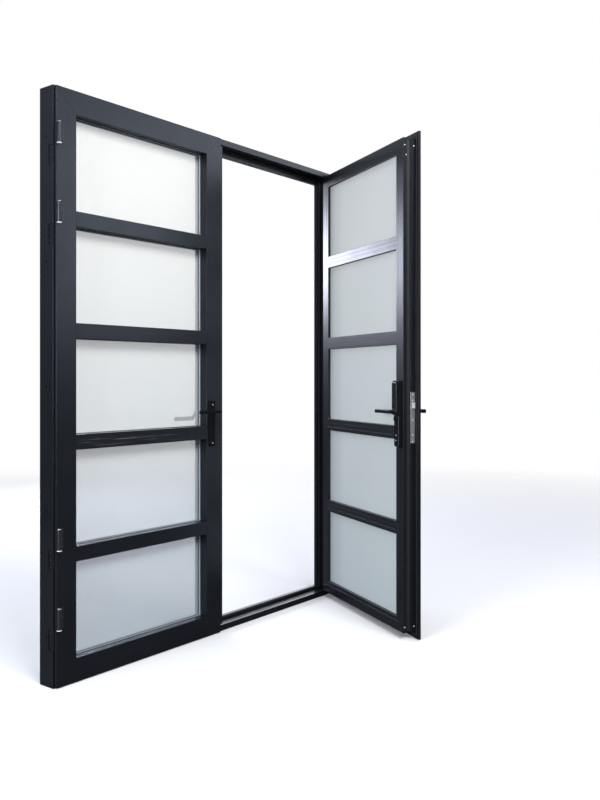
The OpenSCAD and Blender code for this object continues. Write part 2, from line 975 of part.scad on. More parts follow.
module lock_cylinder() {
    color(steel_color)
        in_leaf("right")
            at_meeting()
                difference() {
                    y_rod(handle_a, [-outer_plate_t - cylinder_out, leaf_t + lower_t], cylinder_z,
                          cylinder_r);
                    y_rod(handle_a, [leaf_t - turn_in - 2, leaf_t + lower_t + 1], cylinder_z,
                          turn_r + fit_clear);
                }
}

module thumbturn() {
    color(dark_color)
        in_leaf("right")
            at_meeting() {
                y0 = leaf_t + lower_t + fit_clear;
                y1 = leaf_t + lower_t + turn_plate_t;
                y_rod(handle_a, [leaf_t - turn_in, y0], cylinder_z, turn_r);
                y_rod(handle_a, [y0, y1], cylinder_z, turn_plate_r);
                box([handle_a - turn_grip[0] / 2, handle_a + turn_grip[0] / 2], [y1, y1 + turn_grip[1]],
                    [cylinder_z - turn_grip[2] / 2, cylinder_z + turn_grip[2] / 2]);
            }
}

jamb("left");  // frame_left_jamb
jamb("right");  // frame_right_jamb
frame_head();
frame_sill();
frame_corner_cleats();
frame_gaskets();
frame_hinge_halves();
hinge_pins();
hinge_washers();
bolt_keeps();
hinge_stile("left");  // left_hinge_stile
left_meeting_stile();
top_rail("left");  // left_top_rail
bottom_rail("left");  // left_bottom_rail
bar("left", 1);  // left_bar_1
bar("left", 2);  // left_bar_2
bar("left", 3);  // left_bar_3
bar("left", 4);  // left_bar_4
panes("left");  // left_panes
spacers("left");  // left_spacers
beads("left");  // left_beads
gaskets("left");  // left_gaskets
corner_cleats("left");  // left_corner_cleats
leaf_hinge_halves("left");  // left_hinge_halves
hinge_stile("right");  // right_hinge_stile
right_meeting_stile();
top_rail("right");  // right_top_rail
bottom_rail("right");  // right_bottom_rail
bar("right", 1);  // right_bar_1
bar("right", 2);  // right_bar_2
bar("right", 3);  // right_bar_3
bar("right", 4);  // right_bar_4
panes("right");  // right_panes
spacers("right");  // right_spacers
beads("right");  // right_beads
gaskets("right");  // right_gaskets
corner_cleats("right");  // right_corner_cleats
leaf_hinge_halves("right");  // right_hinge_halves
left_plates();
left_plate_screws();
left_outer_lever();
left_inner_lever();
left_spindle();
left_gearbox();
top_shoot_bolt();
bottom_shoot_bolt();
false_mullion();
mullion_end_caps();
strike_plate();
right_plates();
right_plate_screws();
right_outer_lever();
right_inner_lever();
right_spindle();
lock_case();
lock_faceplate();
latch_bolt();
dead_bolt();
lock_cylinder();
thumbturn();
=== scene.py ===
import json
import math

import bpy
import numpy as np
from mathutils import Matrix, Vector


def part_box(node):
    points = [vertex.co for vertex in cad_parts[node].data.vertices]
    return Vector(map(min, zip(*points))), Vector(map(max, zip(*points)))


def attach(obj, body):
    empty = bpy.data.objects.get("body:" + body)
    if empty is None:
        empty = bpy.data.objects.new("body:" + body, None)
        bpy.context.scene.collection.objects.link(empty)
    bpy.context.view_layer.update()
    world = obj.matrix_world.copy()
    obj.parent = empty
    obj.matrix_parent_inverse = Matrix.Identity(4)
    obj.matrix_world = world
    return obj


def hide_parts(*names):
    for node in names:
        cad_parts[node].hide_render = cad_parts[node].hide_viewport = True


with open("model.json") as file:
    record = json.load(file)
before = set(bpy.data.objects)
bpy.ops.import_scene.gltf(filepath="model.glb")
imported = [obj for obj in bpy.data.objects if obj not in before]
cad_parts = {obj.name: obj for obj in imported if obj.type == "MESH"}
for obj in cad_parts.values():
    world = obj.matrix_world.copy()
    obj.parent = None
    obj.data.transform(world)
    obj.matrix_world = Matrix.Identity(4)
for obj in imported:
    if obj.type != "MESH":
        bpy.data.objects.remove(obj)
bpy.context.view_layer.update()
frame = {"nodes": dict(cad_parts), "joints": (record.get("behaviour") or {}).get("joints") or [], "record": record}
joints = {joint["name"]: joint for joint in frame["joints"]}

# Places, read from the frame; metres

jambLow, jambHigh = (np.array(corner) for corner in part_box("frame_left_jamb"))
stileLow, stileHigh = (np.array(corner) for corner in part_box("left_hinge_stile"))
railLow, railHigh = (np.array(corner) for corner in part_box("left_top_rail"))
frameWidth = 2 * abs(jambLow[0])
frameHeight = jambHigh[2]
frameDepth = jambHigh[1] - jambLow[1]
leafWidth = railHigh[0] - railLow[0]
leafHeight = stileHigh[2] - stileLow[2]
leafDepth = stileHigh[1] - stileLow[1]
stileFace = stileHigh[0] - stileLow[0]
restAngle = math.radians(-joints["right_leaf_hinge"]["range_deg"][0])
hingePoint = np.array(joints["right_leaf_hinge"]["pos_m"])
spindleHeight = joints["left_handle_turn"]["pos_m"][2] - stileLow[2]
handleBack = stileLow[0] + leafWidth - joints["left_handle_turn"]["pos_m"][0]

# The extrusions' sections
section = {
    "flange": 0.012, "overlap": 0.030, "lip": 0.036, "rebate": 0.020, "wall": 0.0025,
    "grooveFrom": 0.038, "grooveTo": 0.059, "grooveDeep": 0.008, "barFace": 0.062,
    "nose": 0.029, "stop": 0.032, "sillStop": 0.016, "stopFrom": 0.066,
    "edge": 0.0011, "inner": 0.0004, "joint": 0.0004, "stepPitch": 0.014, "stepWide": 0.004,
    "stepDeep": 0.001,
}
bars = 4
paneHeight = (leafHeight - 2 * stileFace - bars * section["barFace"]) / (bars + 1)
panePitch = paneHeight + section["barFace"]


# Leaf axes to the frame: the right leaf is the left one mirrored, then turned open about its hinge.
def inLeaf(side):
    def place(points):
        world = np.asarray(points, float) + stileLow
        if side == "left":
            return world
        dx = -world[:, 0] - hingePoint[0]
        dy = world[:, 1] - hingePoint[1]
        turned = world.copy()
        turned[:, 0] = hingePoint[0] + dx * math.cos(restAngle) - dy * math.sin(restAngle)
        turned[:, 1] = hingePoint[1] + dx * math.sin(restAngle) + dy * math.cos(restAngle)
        return turned
    return place


# Jamb axes to the frame: x inward from the outside, y from the front.
def inFrame(side):
    sign = 1 if side == "left" else -1

    def place(points):
        world = np.asarray(points, float) + jambLow
        world[:, 0] *= sign
        return world
    return place


# Surfaces

# Each corner becomes an arc whose centre lies on the corner's bisector, radius / sin(half angle) away.
def roundCorners(points, radius, steps=3):
    corner = np.asarray(points, float)
    radius = np.broadcast_to(np.asarray(radius, float), len(corner))[:, None]
    toBack = np.roll(corner, 1, 0) - corner
    toFront = np.roll(corner, -1, 0) - corner
    toBack /= np.linalg.norm(toBack, axis=1, keepdims=True)
    toFront /= np.linalg.norm(toFront, axis=1, keepdims=True)
    half = np.arccos(np.clip((toBack * toFront).sum(1), -1, 1))[:, None] / 2
    middle = toBack + toFront
    middle /= np.linalg.norm(middle, axis=1, keepdims=True)
    centre = corner + middle * radius / np.sin(half)
    start = corner + toBack * radius / np.tan(half) - centre
    end = corner + toFront * radius / np.tan(half) - centre
    a0 = np.arctan2(start[:, 1], start[:, 0])
    turn = np.arctan2(end[:, 1], end[:, 0]) - a0
    turn = (turn + np.pi) % (2 * np.pi) - np.pi
    t = np.linspace(0, 1, steps + 1)
    angle = a0[:, None] + turn[:, None] * t
    x = centre[:, :1] + radius * np.cos(angle)
    y = centre[:, 1:] + radius * np.sin(angle)
    return np.stack([x, y], 2).reshape(-1, 2)


# Each point moves inward along the mean of its edges' normals, by amount over the cosine between them.
def insetOutline(outline, amount):
    edge = np.roll(outline, -1, 0) - outline
    edge /= np.linalg.norm(edge, axis=1, keepdims=True) + 1e-12
    normal = np.stack([-edge[:, 1], edge[:, 0]], 1)
    area = (outline[:, 0] * np.roll(outline[:, 1], -1) - np.roll(outline[:, 0], -1) * outline[:, 1]).sum()
    normal *= np.sign(area)
    mean = normal + np.roll(normal, 1, 0)
    length = np.linalg.norm(mean, axis=1, keepdims=True)
    return outline + mean / length * amount / np.maximum(length / 2, 0.3)


def rectangle(x0, x1, y0, y1):
    return np.array([[x0, y0], [x1, y0], [x1, y1], [x0, y1]], float)


# Quads from each ring of n points to the one after it; the last joins the first.
def ringQuads(count, n):
    k = np.arange(n)
    k1 = (k + 1) % n
    here = np.arange(count)[:, None] * n
    ahead = (here + n) % (count * n)
    return np.stack([here + k, here + k1, ahead + k1, ahead + k], 2)


# Rings joined one to the next, with both ends closed by a face.
def stack(rings):
    rings = np.asarray(rings, float)
    count, n = rings.shape[:2]
    quads = ringQuads(count, n)[:-1].reshape(-1, 4)
    first = np.arange(n)[None]
    return rings.reshape(-1, 3), [quads, first[:, ::-1], first + (count - 1) * n]


# The outline is carried from startAt to endAt, functions of its points; both ends shrink by joint.
def extrude(outline, startAt, endAt, joint=None):
    joint = section["joint"] if joint is None else joint
    small = insetOutline(outline, joint)
    return stack([np.column_stack([small, startAt(small)]),
                  np.column_stack([outline, startAt(outline) + joint]),
                  np.column_stack([outline, endAt(outline) - joint]),
                  np.column_stack([small, endAt(small)])])


# The same with square ends.
def extrudeSquare(outline, start, end, joint=None):
    return extrude(outline, lambda p: np.full(len(p), start), lambda p: np.full(len(p), end), joint)


# A plain box, for cutting.
def box(low, high):
    corner = np.array([[x, y, z] for x in (low[0], high[0]) for y in (low[1], high[1])
                       for z in (low[2], high[2])])
    sides = [[0, 1, 3, 2], [4, 6, 7, 5], [0, 4, 5, 1], [2, 3, 7, 6], [0, 2, 6, 4], [1, 5, 7, 3]]
    return corner, [np.array(sides)]


def atDepth(outline, y):
    return np.column_stack([outline[:, 0], np.full(len(outline), y), outline[:, 1]])


# An outline in x and z, thick from y0 to y1; the edge at y1 is rounded: inset r(1 - cos), height r sin.
def slab(outline, y0, y1, edge):
    sign = math.copysign(1, y1 - y0)
    rings = [atDepth(outline, y0)]
    for angle in np.linspace(0, math.pi / 2, 5):
        ring = insetOutline(outline, edge * (1 - math.cos(angle)))
        rings.append(atDepth(ring, y1 - sign * edge * (1 - math.sin(angle))))
    return stack(rings)


# A box whose upright edges and front and back rims are all rounded.
def block(low, high, edge=0.0008):
    outline = roundCorners(rectangle(low[0], high[0], low[2], high[2]), edge)
    rings = []
    for y, sign in ((low[1], 1), (high[1], -1)):
        for angle in np.linspace(0, math.pi / 2, 4)[::sign]:
            ring = insetOutline(outline, edge * (1 - math.sin(angle)) * 0.9)
            rings.append(atDepth(ring, y + sign * edge * (1 - math.cos(angle))))
    return stack(rings)


# Radius and height turned about an axis; wave(angle, radius) may press the radius in and out.
def lathe(profile, centre, axis, segments=40, wave=None):
    profile = np.asarray(profile, float)
    axis = np.asarray(axis, float)
    side = np.cross(axis, [0.31, 0.87, 0.38])
    side /= np.linalg.norm(side)
    other = np.cross(axis, side)
    angle = np.linspace(0, 2 * math.pi, segments, endpoint=False)
    radius = np.repeat(profile[:, :1], segments, 1)
    if wave is not None:
        radius = wave(angle[None, :], radius)
    turn = np.cos(angle)[:, None] * side + np.sin(angle)[:, None] * other
    points = radius[:, :, None] * turn + profile[:, 1][:, None, None] * axis + np.asarray(centre, float)
    return stack(points)


# A superellipse |a|^p + |b|^p = 1, tall along Z and wide across the path, with rounded ends.
def tube(path, tall, wide, power, end):
    path = np.asarray(path, float)
    along = np.gradient(path, axis=0)
    along /= np.linalg.norm(along, axis=1, keepdims=True)
    up = np.array([0, 0, 1.0]) - along * along[:, 2:]
    up /= np.linalg.norm(up, axis=1, keepdims=True)
    side = np.cross(along, up)
    angle = np.linspace(0, 2 * math.pi, 32, endpoint=False)
    shape = 2 / np.broadcast_to(np.asarray(power, float), len(path))[:, None]
    a = np.sign(np.cos(angle)) * np.abs(np.cos(angle)) ** shape
    b = np.sign(np.sin(angle)) * np.abs(np.sin(angle)) ** shape
    tall = np.broadcast_to(np.asarray(tall, float), len(path))[:, None, None]
    wide = np.broadcast_to(np.asarray(wide, float), len(path))[:, None, None]
    rings = (path[:, None] + tall / 2 * b[:, :, None] * up[:, None]
             + wide / 2 * a[:, :, None] * side[:, None])
    caps = []
    for index, sign in ((0, 1), (-1, -1)):
        middle = path[index]
        size = min(float(tall[index, 0, 0]), float(wide[index, 0, 0]))
        turn = np.linspace(0, math.pi / 2, 4)[:-1]
        shrink = 1 - 2 * end * (1 - np.sin(turn)) / size
        ahead = end * (1 - np.cos(turn)) * sign
        caps.append(middle + (rings[index] - middle)[None] * shrink[:, None, None]
                    + ahead[:, None, None] * along[index])
    rings[0] += along[0] * end
    rings[-1] -= along[-1] * end
    return stack(np.concatenate([caps[0], rings, caps[1][::-1]]))


# An outline in distance outward from an opening and y, carried round its four mitred corners.
def rectangleRing(outline, x0, x1, z0, z1):
    out, y = outline[:, 0], outline[:, 1]
    corners = []
    for cx, cz, sx, sz in ((x0, z0, -1, -1), (x1, z0, 1, -1), (x1, z1, 1, 1), (x0, z1, -1, 1)):
        corners.append(np.column_stack([cx + sx * out, y, cz + sz * out]))
    return np.concatenate(corners), [ringQuads(4, len(outline)).reshape(-1, 4)]


# A countersunk head's rim with a six-lobed socket: the socket's radius swells by a sixth of a cosine.
def screw(centre, axis, radius=0.0035, tall=0.0016):
    profile = [[radius, -0.0004], [radius, tall * 0.35], [radius * 0.86, tall * 0.8],
               [radius * 0.62, tall], [radius * 0.44, tall], [radius * 0.40, tall * 0.2]]

    def lobes(angle, size):
        inner = size < radius * 0.5
        return np.where(inner, size * (1 + 0.16 * np.cos(6 * angle)), size)
    return lathe(profile, centre, axis, 24, lobes)


# Screws at points in a place's own axes, facing along axis there.
def screwsAt(points, axis, place, radius=0.0035, tall=0.0016):
    heads = place(np.array(points, float))
    out = place(np.array(points, float) + axis) - heads
    out /= np.linalg.norm(out, axis=1, keepdims=True)
    return [screw(head, turned, radius, tall) for head, turned in zip(heads, out)]


def asIs(points):
    return points


# A part moved into the frame, with its faces turned outward by the sign of its volume.
def mapped(part, place):
    points = place(part[0])
    middle = points.mean(0)
    volume = 0.0
    for group in part[1]:
        corner = points[group] - middle
        fan = np.cross(corner[:, 1:-1], corner[:, 2:])
        volume += (fan * corner[:, :1]).sum()
    return points, part[1] if volume > 0 else [group[:, ::-1] for group in part[1]]


# One mesh of several parts: each group of faces is shifted by the count of points before its part.
def newMesh(name, parts):
    starts = np.cumsum([0] + [len(part[0]) for part in parts])
    points = np.concatenate([part[0] for part in parts])
    groups = [group + start for part, start in zip(parts, starts) for group in part[1]]
    sizes = np.concatenate([np.full(len(group), group.shape[1]) for group in groups])
    corners = np.concatenate([group.ravel() for group in groups])
    mesh = bpy.data.meshes.new(name)
    mesh.vertices.add(len(points))
    mesh.vertices.foreach_set("co", points.ravel())
    mesh.loops.add(len(corners))
    mesh.loops.foreach_set("vertex_index", corners)
    mesh.polygons.add(len(sizes))
    mesh.polygons.foreach_set("loop_start", np.cumsum(sizes) - sizes)
    mesh.update(calc_edges=True)
    return mesh


def addObject(name, data):
    thing = bpy.data.objects.new(name, data)
    bpy.context.scene.collection.objects.link(thing)
    return thing


# Smooth faces, sharp where two meet at over 40 degrees, and normals weighted by area.
def shadeSmooth(piece):
    mesh = piece.data
    mesh.polygons.foreach_set("use_smooth", np.ones(len(mesh.polygons), bool))
    mesh.set_sharp_from_angle(angle=math.radians(40))
    mesh.update()
    piece.modifiers.new("weighted", "WEIGHTED_NORMAL").keep_sharp = True


# parts is a list of (points, groups of faces), with a finish number when there are two finishes; without
# finish, a list of materials, a piece gets its slot's own.
def makePiece(name, parts, body, slot, nodes=(), finish=None):
    mesh = newMesh(name, parts)
    numbers = [part[2] if len(part) > 2 else 0 for part in parts]
    faceCounts = [sum(len(group) for group in part[1]) for part in parts]
    for material in finish or [finishes[slot]]:
        mesh.materials.append(material)
    mesh.polygons.foreach_set("material_index", np.repeat(numbers, faceCounts))
    piece = addObject(name, mesh)
    shadeSmooth(piece)
    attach(piece, body)
    if nodes:
        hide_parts(*nodes)
    return piece


# Takes the cutters out of a piece's mesh.
def carve(piece, cutters):
    cutter = addObject("cutter", newMesh("cutter", cutters))
    taken = piece.modifiers.new("taken", "BOOLEAN")
    taken.operation = "DIFFERENCE"
    taken.solver = "EXACT"
    taken.object = cutter
    piece.modifiers.remove(piece.modifiers["weighted"])
    bpy.context.view_layer.update()
    graph = bpy.context.evaluated_depsgraph_get()
    cut = bpy.data.meshes.new_from_object(piece.evaluated_get(graph))
    piece.modifiers.clear()
    piece.data = cut
    shadeSmooth(piece)
    bpy.data.objects.remove(cutter)


# Finishes

# A Principled material with fixed values set on its own sockets.
def newFinish(name, **values):
    material = bpy.data.materials.new(name)
    material.use_nodes = True
    shader = material.node_tree.nodes["Principled BSDF"]
    for socket, value in values.items():
        shader.inputs[socket.replace("_", " ")].default_value = value
    return material


# A new node; each input is another node's socket or a fixed value.
def addNode(tree, kind, inputs=(), **settings):
    node = tree.nodes.new("ShaderNode" + kind)
    for name, value in settings.items():
        setattr(node, name, value)
    for name, value in dict(inputs).items():
        if isinstance(value, bpy.types.NodeSocket):
            tree.links.new(value, node.inputs[name])
        else:
            node.inputs[name].default_value = value
    return node


# Noise on the object's own coordinates, its scale in features per metre.
def noiseOn(material, scale, detail=4.0, stretch=(1, 1, 1), rough=0.55):
    tree = material.node_tree
    where = addNode(tree, "TexCoord").outputs["Object"]
    place = addNode(tree, "Mapping", {"Vector": where, "Scale": stretch}).outputs["Vector"]
    noise = {"Vector": place, "Scale": scale, "Detail": detail, "Roughness": rough}
    return addNode(tree, "TexNoise", noise).outputs["Fac"]


# stops is a list of (place, colour or grey).
def ramp(material, value, stops):
    node = addNode(material.node_tree, "ValToRGB", {"Fac": value})
    for index, (place, colour) in enumerate(stops):
        element = node.color_ramp.elements[index] if index < 2 else node.color_ramp.elements.new(place)
        element.position = place
        colour = colour if isinstance(colour, (list, tuple)) else [colour] * 3
        element.color = (*colour[:3], 1)
    return node.outputs["Color"]


def plug(material, value, socket):
    material.node_tree.links.new(value, material.node_tree.nodes["Principled BSDF"].inputs[socket])


def bumpOn(material, value, strength, distance):
    inputs = {"Height": value, "Strength": strength, "Distance": distance}
    plug(material, addNode(material.node_tree, "Bump", inputs).outputs["Normal"], "Normal")


# Noise between two stops drives a socket from low to high.
def vary(material, socket, noise, low, high, stops=(0.3, 0.7)):
    value = noiseOn(material, *noise)
    plug(material, ramp(material, value, [(stops[0], low), (stops[1], high)]), socket)


# The three axes of a coordinate.
def axesOf(tree, source="Object"):
    where = addNode(tree, "TexCoord").outputs[source]
    return addNode(tree, "SeparateXYZ", {"Vector": where}).outputs


# A value carried from low..high to start..end, and held there beyond them.
def ranged(tree, value, low, high, start=0.0, end=1.0):
    inputs = {"Value": value, "From Min": low, "From Max": high, "To Min": start, "To Max": end}
    return addNode(tree, "MapRange", inputs).outputs["Result"]


# share of second over first; each is a socket or a colour.
def mix(material, share, first, second):
    first, second = ((*value, 1) if isinstance(value, tuple) else value for value in (first, second))
    return addNode(material.node_tree, "Mix", {0: share, 6: first, 7: second}, data_type="RGBA").outputs[2]


def combine(material, operation, first, second):
    return addNode(material.node_tree, "Math", {0: first, 1: second}, operation=operation).outputs[0]


# Powder coat: fine orange peel, a slow drift in tone and gloss, and a little dust.
def coated(name, dark, light, roughness=(0.28, 0.34), shine=0.5):
    material = newFinish(name, Metallic=0.0, IOR=1.5, Specular_Tint=(0.76, 0.84, 1.0, 1),
                         Specular_IOR_Level=shine)
    tone = noiseOn(material, 5.0, 6.0)
    speck = noiseOn(material, 260.0, 3.0)
    colour = ramp(material, tone, [(0.3, dark), (0.72, light)])
    dust = ramp(material, speck, [(0.64, 0.0), (0.8, 0.3)])
    pale = tuple(min(1, c * 2.2 + 0.01) for c in light)
    plug(material, mix(material, dust, colour, pale), "Base Color")
    vary(material, "Roughness", (9.0, 5.0), *roughness, (0.25, 0.75))
    bumpOn(material, noiseOn(material, 900.0, 2.0), 0.08, 0.0004)
    return material


# The same coat with pale rub marks: stretched noise over a threshold, inside a soft box of the piece.
def scuffedCoat(name, dark, light, region, streak):
    material = coated(name, dark, light)
    tree = material.node_tree
    axes = axesOf(tree)
    rub = ramp(material, noiseOn(material, 1.0, 6.0, streak, 0.7), [(0.57, 0.0), (0.70, 0.7)])
    for axis, (low, high) in region.items():
        fade = (high - low) * 0.12
        for edge, sign in ((low, 1), (high, -1)):
            inside = ranged(tree, axes[axis], edge, edge + sign * fade)
            rub = combine(material, "MULTIPLY", inside, rub)
    base = tree.nodes["Principled BSDF"].inputs["Base Color"].links[0].from_socket
    plug(material, mix(material, rub, base, (0.26, 0.27, 0.30)), "Base Color")
    return material


coatDark = (0.0040, 0.0046, 0.0062)
coatLight = (0.0058, 0.0067, 0.0092)
powderCoat = coated("powder_coat", coatDark, coatLight)
barScuffs = scuffedCoat("powder_coat_rubbed", coatDark, coatLight,
                        {"X": (-0.85, -0.085), "Y": (-0.075, -0.03), "Z": (0.950, 0.998)}, (2.6, 30, 240))
topScuffs = scuffedCoat("powder_coat_chipped", coatDark, coatLight,
                        {"X": (-0.805, -0.755), "Z": (2.376, 2.397)}, (60, 40, 110))

hingeBlack = coated("hinge_black", (0.010, 0.010, 0.012), (0.016, 0.016, 0.019), (0.24, 0.34))
handleBlack = coated("handle_black", (0.003, 0.0035, 0.0038), (0.006, 0.0065, 0.0070), (0.22, 0.30), 0.3)
slimBlack = coated("handle_black_matt", (0.0018, 0.0021, 0.0023), (0.0034, 0.0038, 0.0041), (0.38, 0.46),
                   0.12)

# A plain finish: noise varies its tone and its roughness, and may raise a fine bump.
def plain(name, tone, gloss, grain=None, **values):
    material = newFinish(name, **values)
    vary(material, "Base Color", *tone)
    vary(material, "Roughness", *gloss)
    if grain:
        bumpOn(material, noiseOn(material, grain[0], 2.0), grain[1], 0.0002)
    return material


rubber = plain("black_rubber", ((60.0, 5.0), (0.008, 0.008, 0.009), (0.020, 0.020, 0.022), (0.3, 0.75)),
               ((220.0, 3.0), 0.55, 0.75), (1500.0, 0.2), Metallic=0.0, IOR=1.45)
nylon = plain("white_nylon", ((90.0, 4.0), (0.70, 0.70, 0.69), (0.84, 0.84, 0.82)),
              ((300.0, 3.0), 0.36, 0.5), Metallic=0.0, Subsurface_Weight=0.15, Subsurface_Scale=0.001)
plastic = plain("black_plastic", ((80.0, 4.0), (0.010, 0.010, 0.011), (0.024, 0.024, 0.026)),
                ((500.0, 3.0), 0.42, 0.6), (1800.0, 0.25), Metallic=0.0)
spacerGrey = plain("spacer_grey", ((300.0, 3.0), (0.42, 0.52, 0.63), (0.50, 0.60, 0.71)),
                   ((90.0, 3.0), 0.34, 0.48), Metallic=0.55)
darkSealant = plain("spacer_sealant", ((120.0, 3.0), (0.008, 0.014, 0.032), (0.014, 0.022, 0.046)),
                    ((300.0, 3.0), 0.45, 0.6), Metallic=0.0)
clearGlass = plain("clear_glass", ((1.3, 4.0, (2.2, 2.2, 0.5)), (0.72, 0.79, 0.81), (0.84, 0.88, 0.89)),
                   ((6.0, 5.0), 0.10, 0.16, (0.3, 0.75)), Metallic=0.0, IOR=1.5, Alpha=0.04,
                   Specular_IOR_Level=0.15)


# Bare metal: grain stretched one way drives tone, roughness and a shallow bump.
def metal(name, dark, light, scale, roughness, stretch=(1, 1, 1), strength=0.12, metallic=1.0):
    material = newFinish(name, Metallic=metallic)
    grain = noiseOn(material, scale, 5.0, stretch, 0.65)
    plug(material, ramp(material, grain, [(0.25, dark), (0.75, light)]), "Base Color")
    vary(material, "Roughness", (scale * 0.4, 4.0, stretch), *roughness, (0.25, 0.75))
    bumpOn(material, grain, strength, 0.0002)
    return material


brushedSteel = metal("brushed_steel", (0.15, 0.15, 0.165), (0.44, 0.44, 0.47), 420.0, (0.24, 0.44),
                     stretch=(1, 1, 0.3), metallic=0.6)
polishedSteel = metal("polished_steel", (0.26, 0.265, 0.30), (0.32, 0.325, 0.37), 60.0, (0.45, 0.55),
                      strength=0.03, metallic=0.0)
zincSteel = metal("zinc_steel", (0.44, 0.45, 0.47), (0.66, 0.67, 0.69), 260.0, (0.28, 0.46))
brightZinc = metal("bright_zinc", (0.70, 0.71, 0.76), (0.82, 0.83, 0.88), 200.0, (0.25, 0.40),
                   metallic=0.3)
millAluminium = metal("mill_aluminium", (0.52, 0.53, 0.54), (0.72, 0.73, 0.75), 500.0, (0.30, 0.48),
                      stretch=(1, 1, 0.05))


# A pale haze on the inner sheets that paints the reflections and the white backdrop behind the glass; its tone and
# its cover follow the height as painted light from above, paler at the head and darker and bluer at the foot, plus
# a little upright noise.
def paintedHaze(name, film):
    material = newFinish(name, Metallic=0.0, IOR=1.5, Specular_IOR_Level=film["shine"])
    tree = material.node_tree
    rise = ranged(tree, axesOf(tree)["Z"], 0.1, 2.3)
    streaks = combine(material, "SUBTRACT", noiseOn(material, 2.2, 4.0, (6, 6, 0.25)), 0.5)
    drift = combine(material, "MULTIPLY", streaks, film["drift"])
    level = combine(material, "ADD", rise, drift)
    plug(material, ramp(material, level, [(0.0, film["foot"]), (0.85, film["head"])]), "Base Color")
    plug(material, ramp(material, level, [(0.0, film["cover"][0]), (0.85, film["cover"][1])]), "Alpha")
    vary(material, "Roughness", (6.0, 5.0), film["rough"], film["rough"] + 0.08, (0.3, 0.75))
    return material


# Left leaf: painted light from above, pale at the head and darker, bluer at the foot.
paintedHazeGlass = paintedHaze("filmed_glass", {
    "foot": (0.42, 0.50, 0.55), "head": (0.80, 0.81, 0.79), "cover": (0.48, 0.36), "drift": 0.10,
    "shine": 0.12, "rough": 0.20})
# Right leaf: a darker copy with more cover, painted shade that offsets the strong hall light on it.
shadedPaintedHaze = paintedHaze("filmed_glass_dense", {
    "foot": (0.50, 0.56, 0.58), "head": (0.62, 0.645, 0.635), "cover": (0.83, 0.83), "drift": 0.10,
    "shine": 0.05, "rough": 0.60})
finishes = {
    "clear_glass": clearGlass, "mill_aluminium": millAluminium, "zinc_steel": zincSteel,
    "brushed_steel": brushedSteel, "powder_coat": powderCoat, "black_rubber": rubber,
    "handle_black": handleBlack, "hinge_black": hingeBlack, "black_plastic": plastic, "white_nylon": nylon,
    "spacer_grey": spacerGrey,
}
print("finishes made:", len(bpy.data.materials))

# Leaf extrusions


# The stile and rail section: x from the flange edge, y from the outer face.
def leafOutline():
    s = section
    core = stileFace - s["rebate"]
    edge, floor = s["overlap"], s["overlap"] + s["grooveDeep"]
    points = [(0, 0), (stileFace, 0), (stileFace, s["lip"]), (core, s["lip"]), (core, leafDepth),
              (edge, leafDepth), (edge, s["grooveTo"]), (floor, s["grooveTo"]), (floor, s["grooveFrom"]),
              (edge, s["grooveFrom"]), (edge, s["flange"]), (0, s["flange"])]
    radius = np.full(len(points), s["edge"])
    radius[[3, 7, 8, 10]] = s["inner"]
    return roundCorners(points, radius)


# Both ends cut at 45 degrees: the cut's place equals the distance from the flange edge.
def mitredLength(outline, length):
    return extrude(outline, lambda p: p[:, 0], lambda p: length - p[:, 0])


# Section axes (across, depth, along) stood upright or laid flat; facing is 1 or -1 for across.
def upright(x, z=0.0, facing=1):
    return lambda p: np.column_stack([x + facing * p[:, 0], p[:, 1], z + p[:, 2]])


def lying(x, z=0.0, facing=1, y=0.0):
    return lambda p: np.column_stack([x + p[:, 2], y + p[:, 1], z + facing * p[:, 0]])


# x0, x1, z0, z1 of a pane's sight opening in leaf axes.
def paneSpan(index):
    low = stileFace + index * panePitch
    return stileFace, leafWidth - stileFace, low, low + paneHeight


edgeX = leafWidth - section["overlap"]
lock = {
    "faceLow": spindleHeight - 0.149, "faceTall": 0.241, "faceWide": 0.024, "faceAt": 0.026,
    "latchAt": spindleHeight + 0.0295, "deadAt": spindleHeight - 0.0775,
    "cylinderDrop": 0.033, "cylinderRadius": 0.0085, "latchTall": 0.027, "deadTall": 0.025,
    "windowWide": 0.0126, "play": 0.0001, "screwRises": (0.081, 0.052, -0.038, -0.110, -0.142),
    "cornerScrews": ((0.070, 2.326), (0.0615, 2.281), (0.020, 2.326), (0.070, 0.057), (0.020, 0.057)),
}
mullion = {
    "from": leafWidth - 0.030, "to": leafWidth + 0.029, "front": 0.016, "back": 0.082, "cover": 0.090,
    "lap": leafWidth + 0.040, "low": 0.034, "high": 2.358, "coverLow": 0.044, "coverHigh": 2.332,
    "pocket": 0.026, "pocketWide": 0.015, "cap": 0.004, "seal": leafWidth + 0.035, "sealWide": 0.004,
}

